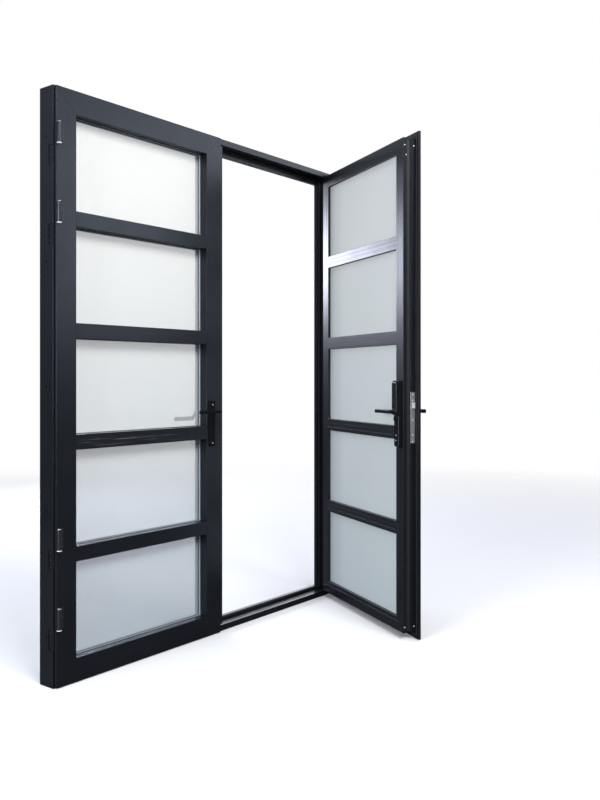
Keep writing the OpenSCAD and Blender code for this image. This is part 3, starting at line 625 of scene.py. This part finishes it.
for side in ("left", "right"):
    place = inLeaf(side)
    body = side + "_leaf"
    members = [("hinge_stile", leafHeight, upright(0)),
               ("meeting_stile", leafHeight, upright(leafWidth, 0, -1)),
               ("bottom_rail", leafWidth, lying(0)),
               ("top_rail", leafWidth, lying(0, leafHeight, -1))]
    breaks = []
    trough = section["overlap"] + section["grooveDeep"]
    strip = rectangle(trough - 0.0003, trough + 0.0001, section["grooveFrom"] + 0.0004,
                      section["grooveTo"] - 0.0004)
    for name, length, turn in members:
        finish = topScuffs if (side, name) == ("left", "top_rail") else powderCoat
        part = mitredLength(leafOutline(), length)
        piece = makePiece(f"{side}_{name}_coated", [mapped(part, lambda p: place(turn(p)))], body,
                          "powder_coat", [f"{side}_{name}"], finish=[finish])
        breaks.append(mapped(mitredLength(strip, length), lambda p: place(turn(p))))
        if (side, name) == ("right", "meeting_stile"):
            half = lock["faceWide"] / 2
            recess = box([edgeX - section["wall"], lock["faceAt"] - half, lock["faceLow"]],
                         [edgeX + 0.001, lock["faceAt"] + half, lock["faceLow"] + lock["faceTall"]])
            carve(piece, [mapped(recess, place)])
    half = section["barFace"] / 2
    web = half - section["rebate"]
    face = roundCorners(rectangle(-half, half, 0, section["lip"]), section["edge"])
    back = roundCorners(rectangle(-web, web, section["lip"] - 0.001, leafDepth), section["inner"])
    for index in range(1, bars + 1):
        turn = lying(0, stileFace + index * panePitch - half)
        parts = []
        for outline, start in ((face, stileFace), (back, stileFace - section["rebate"])):
            part = extrudeSquare(outline, start, leafWidth - start)
            parts.append(mapped(part, lambda p: place(turn(p))))
        finish = barScuffs if (side, index) == ("left", 2) else powderCoat
        makePiece(f"{side}_bar_{index}_coated", parts, body, "powder_coat", [f"{side}_bar_{index}"],
                  finish=[finish])
    makePiece(side + "_thermal_breaks", breaks, body, "black_plastic")
print("leaf extrusions made")

# Glazing: beads, gaskets and spacers

glazing = {
    "beadFrom": 0.068, "beadEdge": 0.0008, "outerGasket": (0.036, 0.040), "innerGasket": (0.064, 0.068),
    "lipOut": 0.0018, "gasketIn": 0.006, "spacer": (0.045, 0.059), "spacerWide": 0.008, "spacerIn": 0.0005,
    "spacerStep": 0.0008, "sealant": 0.007, "outerSheet": (0.040, 0.045), "innerSheet": (0.059, 0.064),
    "bite": 0.016, "seal": (0.012, 0.020), "sealTall": 0.0037,
}


# A strip behind the sight line whose lip swells into the opening as half an ellipse.
def gasketOutline(y0, y1):
    turn = np.linspace(-math.pi / 2, math.pi / 2, 9)
    lip = np.column_stack([-glazing["lipOut"] * np.cos(turn), (y0 + y1) / 2 + (y1 - y0) / 2 * np.sin(turn)])
    return np.concatenate([lip, [[glazing["gasketIn"], y1], [glazing["gasketIn"], y0]]])


for side in ("left", "right"):
    place = inLeaf(side)
    body = side + "_leaf"
    beads, seals, spacers, sheets = [], [], [], []
    beadOutline = roundCorners(rectangle(0, section["rebate"], glazing["beadFrom"], leafDepth),
                               [section["inner"]] * 2 + [glazing["beadEdge"]] * 2)
    for index in range(bars + 1):
        x0, x1, z0, z1 = paneSpan(index)
        lengths = [(x1 - x0, lying(x0, z0, -1)), (x1 - x0, lying(x0, z1)),
                   (z1 - z0, upright(x0, z0, -1)), (z1 - z0, upright(x1, z0))]
        for length, turn in lengths:
            part = extrude(beadOutline, lambda p: -p[:, 0], lambda p: length + p[:, 0], 0.0003)
            beads.append(mapped(part, lambda p: place(turn(p))))
        for y0, y1 in (glazing["outerGasket"], glazing["innerGasket"]):
            seals.append(mapped(rectangleRing(gasketOutline(y0, y1), x0, x1, z0, z1), place))
        y0, y1 = glazing["spacer"]
        inset = glazing["spacerIn"]
        wide = glazing["spacerWide"] - inset
        split = y1 - glazing["sealant"]
        step = -inset + glazing["spacerStep"]
        metalBar = roundCorners([(-inset, y0), (-inset, y0 + 0.003), (step, y0 + 0.0036),
                                 (step, split - 0.0006), (-inset, split), (wide, split), (wide, y0)],
                                0.0002, 2)
        sealant = roundCorners(rectangle(-inset, wide, split, y1), 0.0003, 2)
        for number, bar in enumerate((metalBar, sealant)):
            spacers.append((*mapped(rectangleRing(bar, x0, x1, z0, z1), place), number))
        for number, (y0, y1) in enumerate((glazing["outerSheet"], glazing["innerSheet"])):
            bite = glazing["bite"]
            sheet = block([x0 - bite, y0, z0 - bite], [x1 + bite, y1, z1 + bite], 0.0007)
            sheets.append((*mapped(sheet, place), number))
    edge, far = glazing["seal"]
    back = section["flange"]
    bulb = roundCorners(rectangle(edge - far, 0, back, back + glazing["sealTall"]), 0.0016, 4)
    seals.append(mapped(rectangleRing(bulb, edge, leafWidth - edge, edge, leafHeight - edge), place))
    if side == "left":
        strip = block([mullion["seal"], leafDepth + 0.0003, mullion["coverLow"]],
                      [mullion["seal"] + mullion["sealWide"], leafDepth + 0.004, mullion["coverHigh"]])
        seals.append(mapped(strip, place))
    makePiece(side + "_beads_coated", beads, body, "powder_coat", [side + "_beads"])
    makePiece(side + "_gaskets_rubber", seals, body, "black_rubber", [side + "_gaskets"])
    makePiece(side + "_spacer_bars", spacers, body, "spacer_grey", [side + "_spacers"],
              finish=[spacerGrey, darkSealant])
    # Each leaf's inner sheets take their own copy of the painted haze.
    film = paintedHazeGlass if side == "left" else shadedPaintedHaze
    makePiece(side + "_pane_sheets", sheets, body, "clear_glass", [side + "_panes"],
              finish=[clearGlass, film])
print("glazing made")

# Frame: jambs, head and sill


# The frame section: x from the outside inward, y from the front; the sill has three shallow steps.
def frameOutline(stop, grooves=False):
    s = section
    top = [(s["nose"], 0)]
    low = s["nose"] - s["stepDeep"]
    for index in range(3 if grooves else 0):
        y = s["stepPitch"] * (index + 1)
        top += [(s["nose"], y), (low, y), (low, y + s["stepWide"]), (s["nose"], y + s["stepWide"])]
    points = [(0, 0)] + top + [(s["nose"], s["stopFrom"]), (s["nose"] + stop, s["stopFrom"]),
                               (s["nose"] + stop, frameDepth), (0, frameDepth)]
    return roundCorners(points, 0.0004 if grooves else s["edge"])


hinge = {
    "end": 0.235, "pitch": 0.315, "radius": 0.010, "tall": 0.0825, "washer": 0.003, "wing": 0.003,
    "wingBack": 0.057, "leafWing": 0.028, "bevel": 0.0012, "screwsAt": np.array([0.16, 0.5, 0.84]),
    "rowIn": 0.012, "leafRowIn": 0.008, "headAt": 0.0018,
}
hingeHeights = [hinge["end"], hinge["end"] + hinge["pitch"], frameHeight - hinge["end"] - hinge["pitch"],
                frameHeight - hinge["end"]]
hingeIn = frameWidth / 2 - hingePoint[0]
hingeFront = hingePoint[1] - jambLow[1]
sillFace = section["nose"] + section["sillStop"]
fixing = {"end": 0.200, "count": 5, "radius": 0.004}


# The corners of a frame hinge's wing.
def wingSpan(low):
    return [0, hingeFront, low], [hinge["wing"], hingeFront + hinge["wingBack"], low + hinge["tall"]]


for side in ("left", "right"):
    place = inFrame(side)
    part = extrude(frameOutline(section["stop"]), lambda p: np.minimum(p[:, 0], sillFace),
                   lambda p: frameHeight - p[:, 0])
    piece = makePiece(f"frame_{side}_jamb_coated", [mapped(part, place)], "frame", "powder_coat",
                      [f"frame_{side}_jamb"])
    cutters = []
    for z in hingeHeights:
        low, high = wingSpan(z - hinge["washer"] / 2 - hinge["tall"])
        cutters.append(mapped(box([-0.001, -0.001, low[2]], high), place))
    for z in np.linspace(fixing["end"], frameHeight - fixing["end"], fixing["count"]):
        bore = lathe([[fixing["radius"], 0], [fixing["radius"], section["nose"] + 0.002]],
                     [-0.001, frameDepth / 2, z], [1, 0, 0], 24)
        cutters.append(mapped(bore, place))
    carve(piece, cutters)

keepLow, keepHigh = (np.array(c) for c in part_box("bottom_shoot_bolt"))
slot = {"play": np.array([0.0015, 0.0015, 0]), "reach": 0.022}
left, front = -frameWidth / 2, -frameDepth / 2
for name, outline, turn, z in (
        ("sill", frameOutline(section["sillStop"], True), lying(left, 0, 1, front), section["nose"]),
        ("head", frameOutline(section["stop"]), lying(left, frameHeight, -1, front),
         frameHeight - section["nose"])):
    part = mitredLength(outline, frameWidth)
    piece = makePiece(f"frame_{name}_coated", [mapped(part, turn)], "frame", "powder_coat",
                      [f"frame_{name}"])
    keepLow[2], keepHigh[2] = z - slot["reach"], z + slot["reach"]
    carve(piece, [mapped(box(keepLow - slot["play"], keepHigh + slot["play"]), asIs)])

# The seals on the stops: a strip whose face swells as half an ellipse
stopSeal = {"from": 0.004, "wide": 0.012, "tall": 0.0037, "sillWide": 0.010, "sillUp": 0.003}


def bulbStrip(length, wide):
    turn = np.linspace(0, math.pi, 13)
    arc = np.column_stack([wide / 2 - wide / 2 * np.cos(turn), -stopSeal["tall"] * np.sin(turn) ** 0.7])
    outline = np.concatenate([arc, [[wide, 0.0002], [0, 0.0002]]])[::-1]
    return extrudeSquare(outline, 0, length, 0.0002)


sealParts = []
u0 = section["nose"] + stopSeal["from"]
u1 = u0 + stopSeal["wide"]
for side in ("left", "right"):
    strip = bulbStrip(frameHeight - u0 - sillFace, stopSeal["wide"])
    sealParts.append(mapped((strip[0] + [u0, section["stopFrom"], sillFace], strip[1]), inFrame(side)))
seatAt = front + section["stopFrom"]
strip = bulbStrip(frameWidth - 2 * u1, stopSeal["wide"])
sealParts.append(mapped(strip, lying(left + u1, frameHeight - u0, -1, seatAt)))
strip = bulbStrip(frameWidth - 2 * u0, stopSeal["sillWide"])
sealParts.append(mapped(strip, lying(left + u0, section["nose"] + stopSeal["sillUp"], 1, seatAt)))
makePiece("frame_stop_seals", sealParts, "frame", "black_rubber", ["frame_gaskets"])
print("frame made")

# Hinges


# A turned barrel one knuckle tall, with both rims bevelled.
def knuckle(x, y, low):
    radius, high, bevel = hinge["radius"], hinge["tall"], hinge["bevel"]
    profile = [[radius - bevel, 0], [radius - bevel * 0.3, bevel * 0.3], [radius, bevel],
               [radius, high - bevel], [radius - bevel * 0.3, high - bevel * 0.3], [radius - bevel, high]]
    return lathe(profile, [x, y, low], [0, 0, 1])


rim, thick = hinge["radius"], hinge["washer"]
pinHead = [[rim - 0.002, 0], [rim - 0.002, 0.0016], [rim - 0.0028, 0.0026], [rim - 0.0048, 0.003]]
washer = [[rim - 0.0004, 0], [rim, 0.0004], [rim, thick - 0.0004], [rim - 0.0004, thick]]
sink = [[0.0044, -0.001], [0.0042, 0], [0.0020, 0.0019]]
knuckles, pins, washers, screws, sinks = [], [], [], [], []
for side in ("left", "right"):
    place = inFrame(side)
    for z in hingeHeights:
        low = z - hinge["washer"] / 2 - hinge["tall"]
        knuckles += [mapped(knuckle(hingeIn, hingeFront, low), place),
                     mapped(block(*wingSpan(low), 0.0005), place)]
        top = [hingeIn, hingeFront, z + hinge["washer"] / 2 + hinge["tall"]]
        pins.append(mapped(lathe(pinHead, top, [0, 0, 1]), place))
        foot = [hingeIn, hingeFront, z - hinge["washer"] / 2]
        washers.append(mapped(lathe(washer, foot, [0, 0, 1]), place))
        y = hingeFront + hinge["wingBack"] - hinge["rowIn"]
        heights = low + hinge["tall"] * hinge["screwsAt"]
        screws += screwsAt([(hinge["headAt"], y, h) for h in heights], [-1, 0, 0], place)
        sinks += [mapped(lathe(sink, [0, y, h], [1, 0, 0], 24), place) for h in heights]
piece = makePiece("frame_hinge_knuckles", knuckles, "frame", "hinge_black", ["frame_hinge_halves"])
carve(piece, sinks)
makePiece("hinge_pin_heads", pins, "frame", "brushed_steel", ["hinge_pins"])
makePiece("hinge_washer_rings", washers, "frame", "white_nylon", ["hinge_washers"])
makePiece("frame_wing_screws", screws, "frame", "hinge_black")

hingeX = hingeIn - (stileLow[0] - jambLow[0])
hingeY = hingePoint[1] - stileLow[1]
for side in ("left", "right"):
    place = inLeaf(side)
    knuckles, screws = [], []
    for z in hingeHeights:
        low = z + hinge["washer"] / 2 - stileLow[2]
        wing = block([hingeX, -hinge["wing"], low], [hingeX + hinge["leafWing"], 0, low + hinge["tall"]],
                     0.0006)
        knuckles += [mapped(knuckle(hingeX, hingeY, low), place), mapped(wing, place)]
        spots = [(hingeX + hinge["leafWing"] - hinge["leafRowIn"], -hinge["wing"], h)
                 for h in low + hinge["tall"] * hinge["screwsAt"]]
        screws += screwsAt(spots, [0, -1, 0], place)
    makePiece(side + "_leaf_knuckles", knuckles, side + "_leaf", "hinge_black", [side + "_hinge_halves"])
    makePiece(side + "_wing_screws", screws, side + "_leaf", "hinge_black")
print("hinges made")

# False mullion on the passive leaf

place = inLeaf("left")
m = mullion
core = rectangle(m["from"], m["to"], m["front"], leafDepth)
cover = [(m["from"], leafDepth - 0.001), (m["to"], leafDepth - 0.001), (m["to"], m["back"]),
         (m["lap"], m["back"]), (m["lap"], m["cover"]), (m["from"], m["cover"])]
parts = [mapped(extrudeSquare(roundCorners(outline, section["edge"]), low, high), place)
         for outline, low, high in ((core, m["low"], m["high"]),
                                    (cover, m["coverLow"], m["coverHigh"]))]
piece = makePiece("false_mullion_coated", parts, "left_leaf", "powder_coat", ["false_mullion"])
strikeLow, strikeHigh = (np.array(corner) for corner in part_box("strike_plate"))
carve(piece, [mapped(box(strikeLow - 0.0002, strikeHigh + [0.002, 0.0002, 0.0002]), asIs)])
pockets = []
y = stileLow[1] + lock["faceAt"]
wide = m["pocketWide"] / 2
for middle, tall in ((lock["latchAt"], lock["latchTall"]), (lock["deadAt"], lock["deadTall"])):
    z = stileLow[2] + middle
    pocket = box([strikeHigh[0] - m["pocket"], y - wide, z - tall / 2 - 0.0015],
                 [strikeHigh[0] + 0.002, y + wide, z + tall / 2 + 0.0015])
    pockets.append(mapped(pocket, asIs))
carve(piece, pockets)
caps = [mapped(block([m["from"], m["front"], z], [m["to"], leafDepth, z + m["cap"]], 0.0012), place)
        for z in (m["low"] - m["cap"], m["high"])]
makePiece("mullion_caps_moulded", caps, "left_leaf", "black_plastic", ["mullion_end_caps"])
print("mullion made")

# Handles

lever = {"neck": 0.054, "neckRadius": 0.008, "grip": 0.018, "gripLong": 0.132, "back": 0.010,
         "roseRadius": 0.014, "rose": 0.006, "crankDrop": 0.038, "crankLong": 0.112,
         "crankTall": (0.0185, 0.0205), "crankWide": 0.68, "clear": 0.0005, "sink": 0.0025,
         "places": np.array([0, 0.02, 0.08, 0.2, 0.4, 0.6, 0.8, 0.88, 0.93, 0.965, 0.985, 1.0]),
         "slender": np.array([14.2, 14.4, 14.2, 14.0, 13.8, 13.8, 14.4, 15.8, 17.2, 17.8, 18, 18]) / 1000}
plates = {"slimWide": 0.036, "slimTall": 0.218, "slimDeep": 0.008, "slimTop": 0.050, "lockWide": 0.044,
          "lockTall": 0.314, "lockLow": 0.167, "housing": 0.033, "lower": 0.020, "outer": 0.010,
          "outerFoot": 0.006, "easeFrom": -0.021, "easeTall": 0.019, "slimScrews": (0.019, 0.016),
          "lockScrews": (0.030, 0.054), "screw": (0.004, 0.0014)}


# Axes at the spindle: x toward the hinges, -y out of the leaf's face, z up, moved into the frame.
def onFace(side, face):
    place = inLeaf(side)

    def put(points):
        y = points[:, 1] if face == "outer" else leafDepth - points[:, 1]
        x = leafWidth - handleBack - points[:, 0]
        return place(np.column_stack([x, y, spindleHeight + points[:, 2]]))
    return put


# A rose, a round neck, and a grip that runs both ways from it; the cranked one's neck slopes to its grip.
def leverParts(plateDeep, cranked, slender):
    out, back, radius = lever["neck"], lever["back"], lever["neckRadius"]
    long = lever["crankLong"] if cranked else lever["gripLong"]
    drop = lever["crankDrop"] if cranked else 0.0
    x = -back + (long + back) * lever["places"]
    grip = np.column_stack([x, np.full(len(x), -out), np.full(len(x), -drop)])
    tall = lever["slender"] if slender else np.full(len(x), lever["grip"])
    wide = tall
    power = 2.0 if slender else 5.5
    if cranked:
        tall = np.linspace(*lever["crankTall"], len(x))
        wide = tall * lever["crankWide"]
        power = 4.5
    bar = tube(grip, tall, wide, power, 0.0035 if slender else 0.0022)
    reach = np.linspace(0, 1, 16)
    ease = np.clip((reach - 0.18) / 0.82, 0, 1)
    depth = -(plateDeep + lever["clear"] + (out - lever["sink"] - plateDeep) * reach)
    flare = 2 * radius * (1 + 0.10 * reach ** 4)
    neck = tube(np.column_stack([np.zeros(16), depth, -drop * ease ** 1.15]), flare, flare, 2.0, 0.0006)
    rose, face = lever["roseRadius"], plateDeep + lever["rose"]
    profile = [[rose, plateDeep + 0.0003], [rose, face - 0.0022], [rose - 0.0008, face - 0.0008],
               [rose - 0.0024, face], [radius + 0.0016, face], [radius + 0.0002, face - 0.001]]
    return [bar, neck, lathe(profile, [0, 0, 0], [0, -1, 0])]


def leverPiece(side, face, plateDeep, cranked=False, slender=False):
    put = onFace(side, face)
    parts = [mapped(part, put) for part in leverParts(plateDeep, cranked, slender)]
    finish = slimBlack if side == "left" else handleBlack
    makePiece(f"{side}_{face}_lever_cast", parts, side + "_handle", "handle_black",
              [f"{side}_{face}_lever"], finish=[finish])


leverPiece("left", "outer", plates["slimDeep"], slender=True)
leverPiece("left", "inner", plates["slimDeep"], True)
leverPiece("right", "outer", plates["outer"])
leverPiece("right", "inner", plates["housing"])


# A plate whose depth changes with height: each section has a flat back and rounded front corners.
def plateStack(wide, depths, edge):
    rings = []
    turn = np.linspace(0, math.pi / 2, 6)
    for z, deep, narrow in depths:
        r = min(edge, deep * 0.45)
        half = wide / 2 - narrow
        right = np.column_stack([half - r + r * np.sin(turn), -deep + r - r * np.cos(turn)])[::-1]
        left = np.column_stack([-right[:, 0], right[:, 1]])[::-1]
        outline = np.concatenate([[[half, 0]], right, left, [[-half, 0]]])
        rings.append(np.column_stack([outline, np.full(len(outline), z)]))
    return stack(rings)


# Heights, depths and side insets of an end that closes as a quarter circle.
def roundedEnd(z, deep, radius, wide, direction):
    turn = np.linspace(0, math.pi / 2, 9)
    heights = z - direction * radius * (1 - np.sin(turn))
    depth = deep - radius * (1 - np.cos(turn))
    inset = wide * (1 - np.cos(turn))
    return list(zip(heights, depth, inset))


# A thick rounded housing above, easing through an S curve to a thinner foot.
def lockPlate(upper, lower):
    low, high = -plates["lockLow"], plates["lockTall"] - plates["lockLow"]
    foot = roundedEnd(low, lower, lower * 0.4, 0.002, -1)[::-1]
    top = roundedEnd(high, upper, upper * 0.4, 0.002, 1)
    step = np.linspace(0, 1, 10)
    ease = step * step * (3 - 2 * step)
    heights = plates["easeFrom"] + plates["easeTall"] * step
    middle = list(zip(heights, lower + (upper - lower) * ease, np.zeros(10)))
    return plateStack(plates["lockWide"], foot + middle + top, 0.006)


def slimPlate():
    outline = roundCorners(rectangle(-plates["slimWide"] / 2, plates["slimWide"] / 2,
                                     plates["slimTop"] - plates["slimTall"], plates["slimTop"]), 0.002, 4)
    return slab(outline, 0, -plates["slimDeep"], 0.0022)


slimParts = [mapped(slimPlate(), onFace("left", face)) for face in ("outer", "inner")]
makePiece("left_slim_plates", slimParts, "left_leaf", "handle_black", ["left_plates"], finish=[slimBlack])
lockParts = [mapped(lockPlate(plates["housing"], plates["lower"]), onFace("right", "inner")),
             mapped(lockPlate(plates["outer"], plates["outerFoot"]), onFace("right", "outer"))]
makePiece("right_lock_plates", lockParts, "right_leaf", "handle_black", ["right_plates"])

below, above = plates["slimScrews"]
slimHeights = (plates["slimTop"] - below, plates["slimTop"] - plates["slimTall"] + above)
lockHeights = [-plates["lockLow"] + rise for rise in plates["lockScrews"]]
plateScrews = {"left": (slimHeights, ("outer", plates["slimDeep"]), ("inner", plates["slimDeep"])),
               "right": (lockHeights, ("inner", plates["lower"]), ("outer", plates["outerFoot"]))}
for side, (heights, *faces) in plateScrews.items():
    screws = []
    for face, deep in faces:
        spots = [(0, -deep, z) for z in heights]
        screws += screwsAt(spots, [0, -1, 0], onFace(side, face), *plates["screw"])
    makePiece(side + "_face_screws", screws, side + "_leaf", "zinc_steel", [side + "_plate_screws"])
print("handles made")

# Lock: faceplate with windows for the bolts, its screws, cylinder and thumb turn

place = inLeaf("right")


# An outline in y and z that stands on the leaf's edge, from x0 to x1, its outer rim eased.
def edgePlate(outline, x0, x1):
    rings = [np.column_stack([np.full(len(outline), x0), outline]),
             np.column_stack([np.full(len(outline), x1 - 0.0003), outline]),
             np.column_stack([np.full(len(outline), x1), insetOutline(outline, 0.0003)])]
    return stack(rings)


half = lock["faceWide"] / 2 - lock["play"]
outline = rectangle(lock["faceAt"] - half, lock["faceAt"] + half, lock["faceLow"] + lock["play"],
                    lock["faceLow"] + lock["faceTall"] - lock["play"])
part = edgePlate(roundCorners(outline, 0.0012, 4), edgeX - section["wall"], edgeX)
piece = makePiece("lock_faceplate_brushed", [mapped(part, place)], "right_leaf", "brushed_steel",
                  ["lock_faceplate"])
windows = []
wide = lock["windowWide"] / 2
for middle, tall in ((lock["latchAt"], lock["latchTall"]), (lock["deadAt"], lock["deadTall"])):
    window = box([edgeX - 0.01, lock["faceAt"] - wide, middle - tall / 2 - 0.0003],
                 [edgeX + 0.01, lock["faceAt"] + wide, middle + tall / 2 + 0.0003])
    windows.append(mapped(window, place))
carve(piece, windows)
faceSpots = [(edgeX - 0.0004, lock["faceAt"], spindleHeight + rise) for rise in lock["screwRises"]]
cornerSpots = [(edgeX, y, z) for y, z in lock["cornerScrews"]]
edgeScrews = (screwsAt(faceSpots, [1, 0, 0], place, 0.0036, 0.0012)
              + screwsAt(cornerSpots, [1, 0, 0], place, 0.0030, 0.0014))
makePiece("right_edge_screws", edgeScrews, "right_leaf", "zinc_steel", finish=[brightZinc])

outerPut, innerPut = onFace("right", "outer"), onFace("right", "inner")
axis = [0, -1, 0]
drop = -lock["cylinderDrop"]
radius = lock["cylinderRadius"]
face = plates["outer"] + 0.010
knob = [[radius, 0], [radius, face - 0.0015], [radius - 0.0006, face - 0.0005], [radius - 0.0018, face],
        [0.0035, face], [0.0033, face - 0.003]]
barrel = [[radius, 0], [radius, plates["lower"] - 0.0002]]
cylinder = [mapped(lathe(knob, [0, 0, drop], axis), outerPut),
            mapped(lathe(barrel, [0, 0, drop], axis), innerPut)]
makePiece("lock_cylinder_turned", cylinder, "right_leaf", "zinc_steel", ["lock_cylinder"],
          finish=[handleBlack])

base = plates["lower"] + 0.0003
disc = [[0.011, base], [0.011, base + 0.0022], [0.0104, base + 0.0032], [0.009, base + 0.0037]]
grip = roundCorners(rectangle(-0.003, 0.003, drop - 0.010, drop + 0.010), 0.0026, 5)
turnParts = [mapped(lathe(disc, [0, 0, drop], axis), innerPut),
             mapped(slab(grip, -base - 0.0037, -plates["lower"] - 0.013, 0.0012), innerPut)]
makePiece("thumb_turn_cast", turnParts, "thumbturn", "handle_black", ["thumbturn"])
print("lock made")

# CAD nodes that keep their own mesh
for row in frame["record"]["subparts"]:
    node = frame["nodes"][row["node"]]
    node.data.materials.clear()
    finish = polishedSteel if row["node"] == "latch_bolt" else finishes[row["material_slot"]]
    node.data.materials.append(finish)

# Room: floor, light and camera

stage = {"floor": 40.0, "fadeFrom": 3.2, "fadeTo": 8.0, "seen": (0.86, 0.86, 0.87),
         "lit": (0.07, 0.072, 0.078)}
floorMesh = bpy.data.meshes.new("floor")
half = stage["floor"] / 2
floorMesh.from_pydata([(-half, -half, 0), (half, -half, 0), (half, half, 0), (-half, half, 0)], [],
                      [[0, 1, 2, 3]])
floor = addObject("floor", floorMesh)
floorFinish = newFinish("floor_pale", Roughness=0.9)
floorMesh.materials.append(floorFinish)
tree = floorFinish.node_tree
where = addNode(tree, "TexCoord").outputs["Object"]
away = addNode(tree, "VectorMath", {0: where}, operation="LENGTH").outputs["Value"]
fade = ranged(tree, away, stage["fadeFrom"], stage["fadeTo"], 1.0, 0.0)
plug(floorFinish, fade, "Alpha")
seen = addNode(tree, "LightPath").outputs["Is Camera Ray"]
plug(floorFinish, mix(floorFinish, seen, stage["lit"], stage["seen"]), "Base Color")

# The camera sees white beyond the floor; the light itself is dark below the horizon and blue-grey above
sky = {"low": -0.10, "high": 0.50, "below": (0.04, 0.045, 0.055, 1), "above": (0.62, 0.66, 0.76, 1),
       "strength": 0.7}
world = bpy.data.worlds.new("studio")
bpy.context.scene.world = world
world.use_nodes = True
tree = world.node_tree
tree.nodes.clear()
height = ranged(tree, axesOf(tree, "Generated")["Z"], sky["low"], sky["high"])
tones = addNode(tree, "ValToRGB", {"Fac": height})
for element, name in zip(tones.color_ramp.elements, ("below", "above")):
    element.color = sky[name]
lit = addNode(tree, "Background", {"Color": tones.outputs["Color"], "Strength": sky["strength"]})
seen = addNode(tree, "Background", {"Color": (1, 1, 1, 1)})
ray = addNode(tree, "LightPath").outputs["Is Camera Ray"]
both = addNode(tree, "MixShader", {"Fac": ray, 1: lit.outputs[0], 2: seen.outputs[0]})
addNode(tree, "OutputWorld", {"Surface": both.outputs["Shader"]})


def softbox(name, place, target, size, power, colour=(1, 1, 1)):
    light = bpy.data.lights.new(name, "AREA")
    light.shape = "RECTANGLE"
    light.size, light.size_y = size
    light.energy = power
    light.color = colour
    lamp = addObject(name, light)
    lamp.location = place
    x, y, z = np.array(target, float) - np.array(place, float)
    lamp.rotation_euler = (math.atan2(math.hypot(x, y), -z), 0, math.atan2(-x, y))
    lamp.visible_camera = False


softbox("key", (-1.6, -4.2, 4.6), (-0.2, 0, 1.9), (3.0, 2.0), 300.0, (1.0, 0.985, 0.96))
softbox("front", (5.6, -5.4, 3.6), (-0.4, 0, 1.9), (6.0, 3.4), 150.0, (0.93, 0.95, 1.0))
softbox("hall", (1.75, 5.6, 2.68), (0.9, 0, 1.7), (3.0, 0.95), 168.0, (0.87, 0.885, 1.0))
softbox("beyond", (6.0, 5.7, 2.4), (0.2, 0, 0.6), (4.6, 2.0), 85.0, (0.92, 0.92, 1.0))
softbox("side", (-5.6, -0.6, 1.7), (0.6, -0.4, 1.2), (2.2, 2.2), 300.0, (0.95, 0.98, 1.0))

view = {"place": (-2.9965, -2.8779, 1.2368), "yaw": 0.916, "lens": 38.0, "shiftX": -0.0070,
        "shiftY": -0.0283}
camera = bpy.data.cameras.new("camera")
camera.sensor_width = 36.0
camera.lens = view["lens"]
camera.shift_x = view["shiftX"]
camera.shift_y = view["shiftY"]
eye = addObject("camera", camera)
eye.location = view["place"]
eye.rotation_euler = (math.pi / 2, 0, -view["yaw"])
bpy.context.scene.camera = eye
bpy.context.scene.view_settings.view_transform = "Standard"
print("room made")
